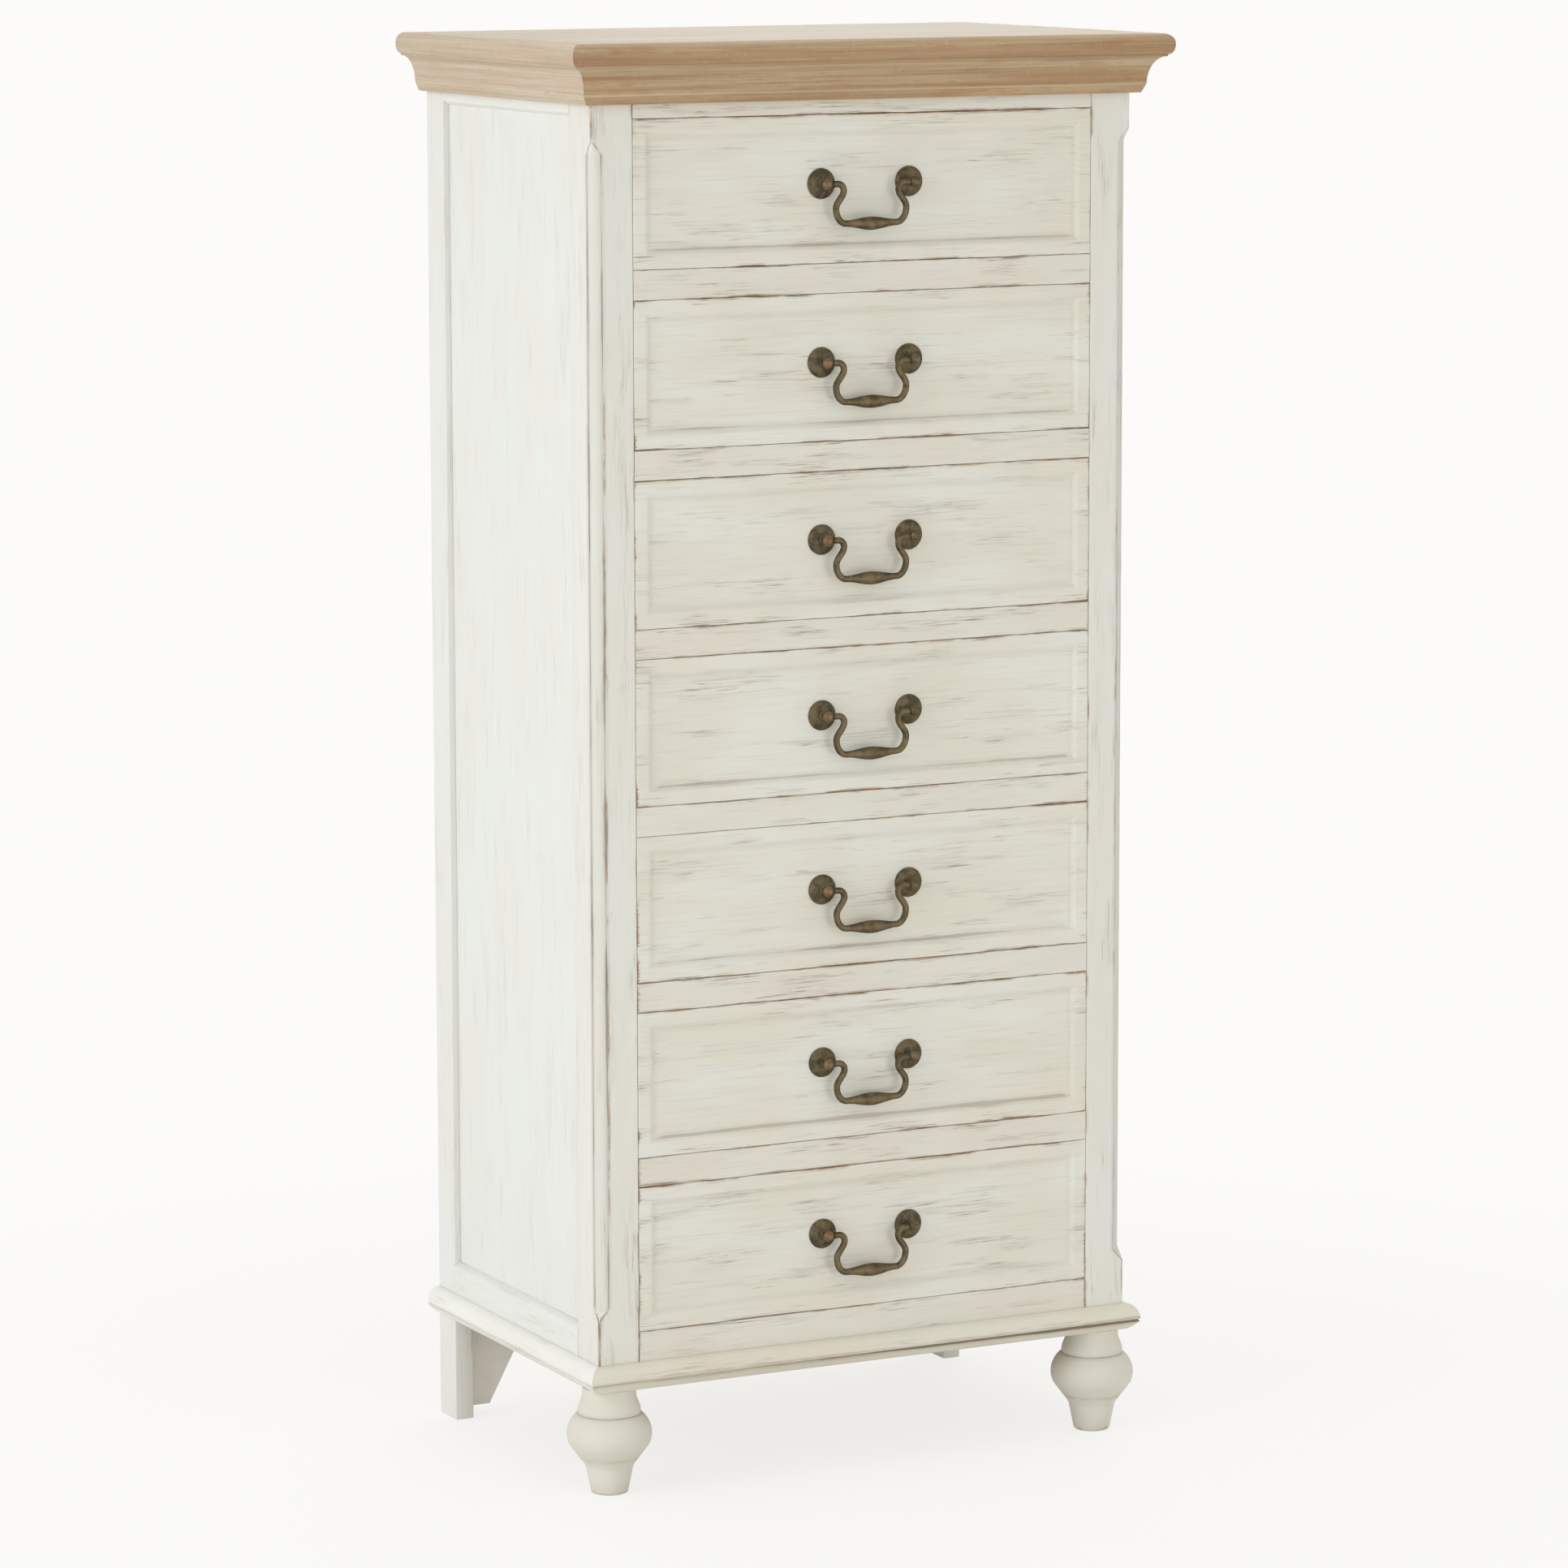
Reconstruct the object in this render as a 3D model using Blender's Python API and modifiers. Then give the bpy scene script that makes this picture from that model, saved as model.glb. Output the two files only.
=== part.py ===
"""Seven-drawer tallboy: painted case, limed oak top, turned front feet and brass bail handles.

Metres, +Z up, front facing -Y. The origin is on the floor, under the middle of the outline.
"""

import math

import bmesh
import bpy
from mathutils import Matrix, Vector

# Gap left between two pieces that touch, and how close two points are joined
FIT = 0.0003
WELD = 0.00002

# Case, without the mouldings that stand out from it
CASE_WIDTH = 0.590
CASE_DEPTH = 0.390

# Heights, from the floor up
FOOT_HEIGHT = 0.107
BASE_MOULDING_HEIGHT = 0.027
BOTTOM_RAIL_SHOW = 0.030
OPENING_HEIGHT = 0.1445
RAIL_HEIGHT = 0.029
TOP_RAIL_SHOW = 0.014
CORNICE_HEIGHT = 0.0375
TOP_THICKNESS = 0.021
DRAWER_COUNT = 7

# Posts and legs
POST_WIDTH = 0.044
POST_DEPTH = 0.049
REAR_POST_WIDTH = 0.020
REAR_POST_DEPTH = 0.040

# Moulded corner of a front post: a stopped quarter round between two small steps
CORNER_CUT = 0.012
CORNER_STEP = 0.0018
CORNER_STOP = 0.014
CORNER_TOP_BLOCK = 0.034
CORNER_BOTTOM_BLOCK = 0.044
CORNER_OUTSIDE = 0.003

# Sides: a panel let into the space between the posts
SIDE_RAIL_LOW_SHOW = 0.029
SIDE_RAIL_TOP_SHOW = 0.009
SIDE_RECESS = 0.007
SIDE_RECESS_BEVEL = 0.004

# Rails, drawer runners and back
RAIL_DEPTH = 0.022
RUNNER_THICKNESS = 0.018
RUNNER_INSIDE_POST = 0.029
REAR_RAIL_DEPTH = 0.040
GUIDE_HEIGHT = 0.014
BACK_THICKNESS = 0.006

# Top and the mouldings under it
CORNICE_OVERHANG = 0.033
NOSE_FLAT = 0.002
NOSE_LOWER_SHARE = 0.5
CORNICE_BAND_OUT = 0.0115
CORNICE_BAND_HEIGHT = 0.008
CORNICE_BAND_UNDERCUT = 0.003
CORNICE_LIP_OUT = 0.0275
CORNICE_LIP_HEIGHT = 0.002
CORNICE_QUIRK = 0.001

# Base moulding round the foot of the case
BASE_OUT = 0.0135
BASE_UNDERCUT = 0.009
BASE_UNDER_LAND = 0.003
BASE_GROOVE = 0.0015
BASE_TOP_LAND = 0.0015

# Turned front foot
FOOT_NECK_RADIUS = 0.0251
FOOT_COLLAR_RADIUS = 0.0313
FOOT_BULB_RADIUS = 0.0422
FOOT_WAIST_RADIUS = 0.0232
FOOT_TOE_RADIUS = 0.0192
FOOT_NECK_LEVEL = 0.101
FOOT_COLLAR_LEVEL = 0.0815
FOOT_BULB_LEVEL = 0.0595
FOOT_LINE_LEVEL = 0.0385
FOOT_WAIST_LEVEL = 0.025
FOOT_SHOULDER_CURVE = 0.026
FOOT_BELLY_CURVE = 0.021
FOOT_WAIST_CURVE = 0.012
FOOT_GROOVE = 0.001
FOOT_TOE_ROUND = 0.002

# Board between the rear legs, cut away to a bracket at each leg
APRON_THICKNESS = 0.018
APRON_SETBACK = 0.004
APRON_CLEARANCE = 0.008
APRON_RAIL_HEIGHT = 0.022
BRACKET_TOE = 0.026
BRACKET_SPREAD = 0.041

# Drawers
DRAWER_GAP = 0.001
FRONT_THICKNESS = 0.020
FRONT_BORDER = 0.0130
FRONT_RECESS = 0.0026
FRONT_RECESS_BEVEL = 0.0050
FRONT_EDGE_BEVEL = 0.001
BOX_SIDE_CLEARANCE = 0.003
BOX_WALL = 0.012
BOX_HEIGHT = 0.116
BOX_BOTTOM_RAISE = 0.009
BOX_BOTTOM_THICKNESS = 0.006
BOX_BACK_CLEARANCE = 0.010

# Handles
HANDLE_CENTRES = 0.096
HANDLE_ABOVE_OPENING = 0.0774
ROSE_RADIUS = 0.015
ROSE_RIM = 0.0010
ROSE_DOME = 0.0052
PIVOT_STANDOFF = 0.0135
KNOB_RADIUS = 0.0055
KNOB_FLAT_RADIUS = 0.0030
NECK_RADIUS = 0.0034
PIN_RADIUS = 0.0019
PIN_CLEARANCE = 0.0005
PIN_LENGTH = 0.0040
ROD_RADIUS = 0.0032
GRIP_RADIUS = 0.0065
BAIL_DROP = 0.0390
BAIL_WAIST = 0.0300
BAIL_BELLY = 0.0385
BAIL_BELLY_DROP = 0.0240
BAIL_SHOULDER_RADIUS = 0.0065
BAIL_CORNER_RADIUS = 0.0110
BAIL_GRIP_RISE = 0.0004

# Facets
FOOT_STEPS = 24
KNOB_STEPS = 14
HOLE_STEPS = 12
ARC_STEPS = 6
SHORT_ARC_STEPS = 4
NOSE_STEPS = 4
SHARP_ANGLE = math.radians(45)

# Levels and places that follow from the sizes above
CASE_BACK = (CASE_DEPTH + CORNICE_OVERHANG) / 2
CASE_FRONT = CASE_BACK - CASE_DEPTH
CASE_SIDE = CASE_WIDTH / 2
CASE_BOTTOM = FOOT_HEIGHT
BASE_TOP = CASE_BOTTOM + BASE_MOULDING_HEIGHT
LOWEST_OPENING = BASE_TOP + BOTTOM_RAIL_SHOW
DRAWER_PITCH = OPENING_HEIGHT + RAIL_HEIGHT
TOP_OPENING_EDGE = LOWEST_OPENING + DRAWER_COUNT * DRAWER_PITCH - RAIL_HEIGHT
CORNICE_BOTTOM = TOP_OPENING_EDGE + TOP_RAIL_SHOW
CASE_TOP = CORNICE_BOTTOM + CORNICE_HEIGHT
OPENING_SIDE = CASE_SIDE - POST_WIDTH
INNER_SIDE = CASE_SIDE - REAR_POST_WIDTH
BACK_FACE = CASE_BACK - BACK_THICKNESS
KNOB_REACH = PIVOT_STANDOFF + KNOB_RADIUS
PIVOT_HEIGHT = HANDLE_ABOVE_OPENING - OPENING_HEIGHT / 2
PIVOT_OUT = PIVOT_STANDOFF - FRONT_RECESS


def clear_scene():
    """Remove every object and collection that the file holds."""
    for obj in list(bpy.data.objects):
        bpy.data.objects.remove(obj, do_unlink=True)
    for collection in list(bpy.data.collections):
        bpy.data.collections.remove(collection)


def make_collection(name):
    """Add a collection to the scene."""
    collection = bpy.data.collections.new(name)
    bpy.context.scene.collection.children.link(collection)
    return collection


def make_material(name, colour, roughness, metallic=0.0):
    """Principled material with one colour, roughness and metallic value."""
    material = bpy.data.materials.new(name)
    material.use_nodes = True
    shader = material.node_tree.nodes["Principled BSDF"]
    shader.inputs["Base Color"].default_value = (*colour, 1.0)
    shader.inputs["Roughness"].default_value = roughness
    shader.inputs["Metallic"].default_value = metallic
    material.diffuse_color = (*colour, 1.0)
    return material


clear_scene()
PARTS = make_collection("tallboy")
CUTTERS = make_collection("tallboy_cutters")
PAINT = make_material("distressed_paint", (0.68, 0.65, 0.57), 0.60)
OAK = make_material("limed_oak", (0.45, 0.31, 0.19), 0.55)
PINE = make_material("bare_pine", (0.60, 0.44, 0.27), 0.65)
PLYWOOD = make_material("back_plywood", (0.52, 0.40, 0.27), 0.75)
BRASS = make_material("antique_brass", (0.12, 0.09, 0.05), 0.42, 1.0)


def add_part(name, mesh, material, parent=None):
    """Place a finished mesh in the tallboy as a named piece."""
    obj = bpy.data.objects.new(name, mesh)
    if not mesh.materials:
        mesh.materials.append(material)
    PARTS.objects.link(obj)
    obj.parent = parent
    return obj


def add_cutter(name, mesh):
    """Place a mesh that only shapes other pieces."""
    obj = bpy.data.objects.new(name, mesh)
    CUTTERS.objects.link(obj)
    obj.hide_render = True
    obj.display_type = "WIRE"
    return obj


def add_axis(name, location, parent=None):
    """Empty that marks where a moving assembly hangs or slides."""
    axis = bpy.data.objects.new(name, None)
    axis.empty_display_size = 0.02
    PARTS.objects.link(axis)
    axis.parent = parent
    axis.location = location
    return axis


def combine(obj, tool, operation):
    """Cut a piece by a tool, or join the tool to it."""
    modifier = obj.modifiers.new(operation.lower(), "BOOLEAN")
    modifier.operation = operation
    modifier.solver = "EXACT"
    modifier.object = tool


def finished_mesh(obj):
    """Mesh of an object with its modifiers applied; the object is removed."""
    graph = bpy.context.evaluated_depsgraph_get()
    mesh = bpy.data.meshes.new_from_object(obj.evaluated_get(graph))
    mesh.name = obj.name
    bpy.data.objects.remove(obj, do_unlink=True)
    return mesh


def box_mesh(name, low, high):
    """Box between two opposite corners."""
    low = Vector(low)
    high = Vector(high)
    mesh = bpy.data.meshes.new(name)
    bm = bmesh.new()
    bmesh.ops.create_cube(bm, size=1.0)
    bmesh.ops.scale(bm, vec=high - low, verts=bm.verts)
    bmesh.ops.translate(bm, vec=(low + high) / 2, verts=bm.verts)
    bm.to_mesh(mesh)
    bm.free()
    return mesh


def plate_mesh(name, outlines, thickness):
    """Flat plate along Z from closed outlines, the first its edge and the others holes."""
    curve = bpy.data.curves.new(name, "CURVE")
    curve.dimensions = "2D"
    curve.fill_mode = "BOTH"
    curve.extrude = thickness / 2
    for outline in outlines:
        spline = curve.splines.new("POLY")
        spline.points.add(len(outline) - 1)
        spline.use_cyclic_u = True
        for point, (x, y) in zip(spline.points, outline):
            point.co = (x, y, 0.0, 1.0)
    return welded_curve(name, curve)


def welded_curve(name, curve):
    """Closed mesh of a curve object, its caps joined to its sides."""
    obj = bpy.data.objects.new(name, curve)
    CUTTERS.objects.link(obj)
    bpy.context.view_layer.update()
    mesh = finished_mesh(obj)
    bm = bmesh.new()
    bm.from_mesh(mesh)
    bmesh.ops.remove_doubles(bm, verts=bm.verts, dist=WELD)
    bmesh.ops.recalc_face_normals(bm, faces=bm.faces)
    bm.to_mesh(mesh)
    bm.free()
    return mesh


def turned_mesh(name, profile, steps):
    """Solid of revolution about Z; the profile is (radius, height), top to bottom."""
    mesh = bpy.data.meshes.new(name)
    edges = [(i, i + 1) for i in range(len(profile) - 1)]
    mesh.from_pydata([(radius, 0.0, height) for radius, height in profile], edges, [])
    obj = bpy.data.objects.new(name, mesh)
    CUTTERS.objects.link(obj)
    screw = obj.modifiers.new("turn", "SCREW")
    screw.axis = "Z"
    screw.angle = math.tau
    screw.steps = steps
    screw.render_steps = steps
    screw.use_merge_vertices = True
    screw.merge_threshold = 0.00001
    screw.use_smooth_shade = True
    bpy.context.view_layer.update()
    finished = finished_mesh(obj)
    finished.shade_smooth()
    finished.set_sharp_from_angle(angle=SHARP_ANGLE)
    return finished


def arc(centre, radii, start, end, steps=ARC_STEPS):
    """Points on an ellipse's arc; radii are (across, up) and angles are degrees from +X."""
    points = []
    for i in range(steps + 1):
        angle = math.radians(start + (end - start) * i / steps)
        x = centre[0] + radii[0] * math.cos(angle)
        y = centre[1] + radii[1] * math.sin(angle)
        points.append((x, y))
    return points


# Case frame

def corner_cutter(name, side):
    """Loft that leaves a quarter round on a front post's outer corner, run out at both ends.

    Its section is given as distances inward from the two faces that meet at the corner, and
    it closes to a point outside the post above and below.
    """
    radius = CORNER_CUT - CORNER_STEP
    outside = -CORNER_OUTSIDE
    section = [(outside, outside), (CORNER_CUT, outside)]
    section += arc((CORNER_CUT, CORNER_CUT), (radius, radius), 270, 180)
    section.append((outside, CORNER_CUT))
    low = BASE_TOP + CORNER_BOTTOM_BLOCK
    high = CORNICE_BOTTOM - CORNER_TOP_BLOCK

    def place(inward, height):
        return (side * (CASE_SIDE - inward[0]), CASE_FRONT + inward[1], height)

    mesh = bpy.data.meshes.new(name)
    bm = bmesh.new()
    rings = []
    for level in (low + CORNER_STOP, high - CORNER_STOP):
        rings.append([bm.verts.new(place(point, level)) for point in section])
    tips = [bm.verts.new(place((outside, outside), level)) for level in (low, high)]
    count = len(section)
    for i in range(count):
        j = (i + 1) % count
        bm.faces.new((rings[0][i], rings[0][j], rings[1][j], rings[1][i]))
        if i and j:
            bm.faces.new((rings[0][j], rings[0][i], tips[0]))
            bm.faces.new((rings[1][i], rings[1][j], tips[1]))
    for ring, tip in zip(rings, tips):
        bm.faces.new((ring[0], ring[1], tip))
        bm.faces.new((ring[-1], ring[0], tip))
    bmesh.ops.recalc_face_normals(bm, faces=bm.faces)
    bm.to_mesh(mesh)
    bm.free()
    return add_cutter(name, mesh)


def front_post(name, side):
    """Front post from the foot to the top, its outer corner moulded between two blocks."""
    inner = side * OPENING_SIDE
    outer = side * CASE_SIDE
    low = (min(inner, outer), CASE_FRONT, CASE_BOTTOM)
    high = (max(inner, outer), CASE_FRONT + POST_DEPTH, CASE_TOP)
    post = add_part(name, box_mesh(name, low, high), PAINT)
    combine(post, corner_cutter(name + "_corner", side), "DIFFERENCE")
    return post


def rear_post(name, side):
    """Rear post, which runs down past the case as a plain square leg."""
    inner = side * INNER_SIDE
    outer = side * CASE_SIDE
    low = (min(inner, outer), CASE_BACK - REAR_POST_DEPTH, 0.0)
    high = (max(inner, outer), CASE_BACK, CASE_TOP)
    return add_part(name, box_mesh(name, low, high), PAINT)


def side_panel(name, side):
    """Side between the posts: a low rail, a recessed panel and a top rail in one board."""
    length = CASE_DEPTH - POST_DEPTH - REAR_POST_DEPTH - 2 * FIT
    middle = CASE_FRONT + POST_DEPTH + FIT + length / 2
    low = BASE_TOP + SIDE_RAIL_LOW_SHOW
    high = CORNICE_BOTTOM - SIDE_RAIL_TOP_SHOW
    inside = -REAR_POST_WIDTH
    outline = [
        (inside, CASE_BOTTOM),
        (0.0, CASE_BOTTOM),
        (0.0, low),
        (-SIDE_RECESS, low + SIDE_RECESS_BEVEL),
        (-SIDE_RECESS, high - SIDE_RECESS_BEVEL),
        (0.0, high),
        (0.0, CASE_TOP),
        (inside, CASE_TOP),
    ]
    panel = add_part(name, plate_mesh(name, [outline], length), PAINT)
    panel.matrix_world = run_along_side(side, middle)
    return panel


def run_along_side(side, middle):
    """Placing of a section whose X points out of a side, Y up and Z along the side."""
    outward = Vector((side, 0.0, 0.0))
    return section_frame(outward, Vector((side * CASE_SIDE, middle, 0.0)))


def run_along_front():
    """Placing of a section whose X points out of the front, Y up and Z along the front."""
    return section_frame(Vector((0.0, -1.0, 0.0)), Vector((0.0, CASE_FRONT, 0.0)))


def section_frame(outward, origin):
    """Matrix that stands a section upright, facing outward, at a point of the case."""
    up = Vector((0.0, 0.0, 1.0))
    along = outward.cross(up)
    frame = Matrix((outward, up, along)).transposed().to_4x4()
    frame.translation = origin
    return frame


def top_rail():
    """Rail over the highest drawer."""
    side = OPENING_SIDE - FIT
    low = (-side, CASE_FRONT, TOP_OPENING_EDGE)
    high = (side, CASE_FRONT + RAIL_DEPTH, CASE_TOP)
    return add_part("top_rail", box_mesh("top_rail", low, high), PAINT)


def runner_frame_mesh(name, rail_height):
    """Rail under a drawer with its two runners, their guides and a rear rail, in one frame.

    Height zero is the surface that the drawer slides on.
    """
    front_side = OPENING_SIDE - FIT
    runner_side = INNER_SIDE - FIT
    hole_side = OPENING_SIDE - RUNNER_INSIDE_POST
    behind_post = CASE_FRONT + POST_DEPTH + FIT
    rear = BACK_FACE - FIT
    edge = [
        (-front_side, CASE_FRONT),
        (front_side, CASE_FRONT),
        (front_side, behind_post),
        (runner_side, behind_post),
        (runner_side, rear),
        (-runner_side, rear),
        (-runner_side, behind_post),
        (-front_side, behind_post),
    ]
    hole_front = CASE_FRONT + RAIL_DEPTH
    hole_rear = rear - REAR_RAIL_DEPTH
    hole = [
        (-hole_side, hole_front),
        (-hole_side, hole_rear),
        (hole_side, hole_rear),
        (hole_side, hole_front),
    ]
    frame = bpy.data.objects.new(name, plate_mesh(name, [edge, hole], RUNNER_THICKNESS))
    CUTTERS.objects.link(frame)
    frame.location.z = -RUNNER_THICKNESS / 2
    low = (-front_side, CASE_FRONT, -rail_height)
    high = (front_side, hole_front, 0.0)
    additions = [add_cutter(name + "_rail", box_mesh(name + "_rail", low, high))]
    for side in (-1, 1):
        inner = side * (OPENING_SIDE + FIT)
        outer = side * runner_side
        low = (min(inner, outer), behind_post, -RUNNER_THICKNESS / 2)
        high = (max(inner, outer), rear, GUIDE_HEIGHT)
        additions.append(add_cutter(name + "_guide", box_mesh(name + "_guide", low, high)))
    for addition in additions:
        combine(frame, addition, "UNION")
    bpy.context.view_layer.update()
    mesh = finished_mesh(frame)
    mesh.transform(Matrix.Translation((0.0, 0.0, -RUNNER_THICKNESS / 2)))
    for addition in additions:
        bpy.data.objects.remove(addition, do_unlink=True)
    return mesh


def runner_frames():
    """Frame under each drawer; the lowest has a deep rail down to the foot of the case."""
    plain = runner_frame_mesh("runner_frame", RAIL_HEIGHT)
    deep = runner_frame_mesh("base_frame", LOWEST_OPENING - CASE_BOTTOM)
    for number in range(1, DRAWER_COUNT + 1):
        lowest = number == DRAWER_COUNT
        frame = add_part(f"runner_frame_{number}", deep if lowest else plain, PAINT)
        frame.location.z = opening_bottom(number)


def opening_bottom(number):
    """Height of a drawer opening's lower edge; drawer 1 is the highest."""
    return LOWEST_OPENING + (DRAWER_COUNT - number) * DRAWER_PITCH


def back_panel():
    """Board that closes the back between the rear posts."""
    side = INNER_SIDE - FIT
    low = (-side, BACK_FACE, CASE_BOTTOM)
    high = (side, CASE_BACK, CASE_TOP)
    return add_part("back_panel", box_mesh("back_panel", low, high), PLYWOOD)


def rear_apron():
    """Board between the rear legs, cut away between two brackets with slanted edges."""
    side = INNER_SIDE - FIT
    top = CASE_BOTTOM - FIT
    ceiling = top - APRON_RAIL_HEIGHT
    toe = side - BRACKET_TOE
    outline = [
        (-side, APRON_CLEARANCE),
        (-toe, APRON_CLEARANCE),
        (-toe + BRACKET_SPREAD, ceiling),
        (toe - BRACKET_SPREAD, ceiling),
        (toe, APRON_CLEARANCE),
        (side, APRON_CLEARANCE),
        (side, top),
        (-side, top),
    ]
    apron = add_part("rear_apron", plate_mesh("rear_apron", [outline], APRON_THICKNESS), PAINT)
    apron.rotation_euler.x = math.radians(90)
    apron.location.y = CASE_BACK - APRON_SETBACK - APRON_THICKNESS / 2
    return apron


# Top and mouldings

def top_board():
    """Top with a nose on the front and both ends, fuller above than below, and a square back."""
    side = CASE_SIDE + CORNICE_OVERHANG
    low = (-side, CASE_FRONT - CORNICE_OVERHANG, CASE_TOP + FIT)
    high = (side, CASE_BACK, CASE_TOP + TOP_THICKNESS)
    mesh = box_mesh("top_board", low, high)
    weights = mesh.attributes.new("bevel_weight_edge", "FLOAT", "EDGE")
    for edge in mesh.edges:
        ends = [mesh.vertices[i].co for i in edge.vertices]
        level = abs(ends[0].z - ends[1].z) < FIT
        at_back = min(end.y for end in ends) > CASE_BACK - FIT
        rounded = 1.0 if ends[0].z > CASE_TOP + TOP_THICKNESS / 2 else NOSE_LOWER_SHARE
        weights.data[edge.index].value = rounded if level and not at_back else 0.0
    board = add_part("top_board", mesh, OAK)
    nose = board.modifiers.new("nose", "BEVEL")
    nose.width = (TOP_THICKNESS - FIT - NOSE_FLAT) / 2
    nose.segments = NOSE_STEPS
    nose.limit_method = "WEIGHT"
    return board


def cornice_section():
    """Section of the moulding under the top: a leaning band, a hollow and a lip, as (out, up)."""
    foot = CORNICE_BAND_OUT - CORNICE_BAND_UNDERCUT
    foot_top = CORNICE_BOTTOM + CORNICE_QUIRK
    band_top = CORNICE_BOTTOM + CORNICE_BAND_HEIGHT
    lip_bottom = CASE_TOP - CORNICE_LIP_HEIGHT
    hollow_out = CORNICE_BAND_OUT + CORNICE_QUIRK
    hollow_bottom = band_top + CORNICE_QUIRK
    hollow = arc(
        (CORNICE_LIP_OUT - CORNICE_QUIRK, hollow_bottom),
        (CORNICE_LIP_OUT - CORNICE_QUIRK - hollow_out, lip_bottom - hollow_bottom),
        180,
        90,
    )
    section = [(FIT, CORNICE_BOTTOM), (foot - CORNICE_QUIRK, CORNICE_BOTTOM), (foot, foot_top)]
    section.append((CORNICE_BAND_OUT, band_top))
    section += hollow
    section.append((CORNICE_LIP_OUT, lip_bottom))
    section.append((CORNICE_LIP_OUT, CASE_TOP))
    section.append((FIT, CASE_TOP))
    return section


def base_section():
    """Section of the base moulding: undercut, groove and quarter-round top, as (out, up)."""
    groove_bottom = CASE_BOTTOM + BASE_UNDERCUT
    groove_top = groove_bottom + 2 * BASE_GROOVE
    section = [(FIT, CASE_BOTTOM), (BASE_UNDER_LAND, CASE_BOTTOM)]
    section.append((BASE_OUT - BASE_GROOVE / 2, groove_bottom - BASE_GROOVE / 2))
    section.append((BASE_OUT - BASE_GROOVE / 2, groove_bottom))
    section.append((BASE_OUT - 2 * BASE_GROOVE, groove_bottom + BASE_GROOVE / 2))
    section.append((BASE_OUT - 2 * BASE_GROOVE, groove_top - BASE_GROOVE / 2))
    section += arc(
        (BASE_TOP_LAND, groove_top),
        (BASE_OUT - BASE_TOP_LAND, BASE_TOP - groove_top),
        0,
        90,
    )
    section.append((FIT, BASE_TOP))
    return section


def mitre_cutter(name, side, keeps_front):
    """Tall box with one face on a front corner's mitre, over the moulding to be cut away."""
    size = 2 * (CASE_WIDTH + CASE_DEPTH)
    height = 2 * (CASE_TOP + TOP_THICKNESS)
    mesh = box_mesh(name, (-size / 2, -size / 2, -height / 2), (size / 2, size / 2, height / 2))
    cutter = add_cutter(name, mesh)
    toward_front = Vector((-side, -1.0, 0.0)).normalized()
    away = -toward_front if keeps_front else toward_front
    corner = Vector((side * CASE_SIDE, CASE_FRONT, 0.0))
    cutter.location = corner + away * (size - FIT) / 2
    cutter.rotation_euler.z = math.radians(45)
    return cutter


def wrap_moulding(name, section, material, front_cutters, side_cutters):
    """Moulding round the front and both sides of the case, mitred at the front corners."""
    reach = max(out for out, up in section)
    mesh = plate_mesh(name + "_front", [section], CASE_WIDTH + 2 * reach)
    front = add_part(name + "_front", mesh, material)
    front.matrix_world = run_along_front()
    for cutter in front_cutters:
        combine(front, cutter, "DIFFERENCE")
    length = CASE_DEPTH + reach
    middle = CASE_BACK - length / 2
    for word, side, cutter in zip(("left", "right"), (-1, 1), side_cutters):
        mesh = plate_mesh(f"{name}_{word}", [section], length)
        piece = add_part(f"{name}_{word}", mesh, material)
        piece.matrix_world = run_along_side(side, middle)
        combine(piece, cutter, "DIFFERENCE")


def mouldings():
    """Cornice under the top in oak, and base moulding in paint."""
    front_cutters = [mitre_cutter("mitre_left_side", -1, True)]
    front_cutters.append(mitre_cutter("mitre_right_side", 1, True))
    side_cutters = [mitre_cutter("mitre_left_front", -1, False)]
    side_cutters.append(mitre_cutter("mitre_right_front", 1, False))
    wrap_moulding("cornice", cornice_section(), OAK, front_cutters, side_cutters)
    wrap_moulding("base_moulding", base_section(), PAINT, front_cutters, side_cutters)


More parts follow.
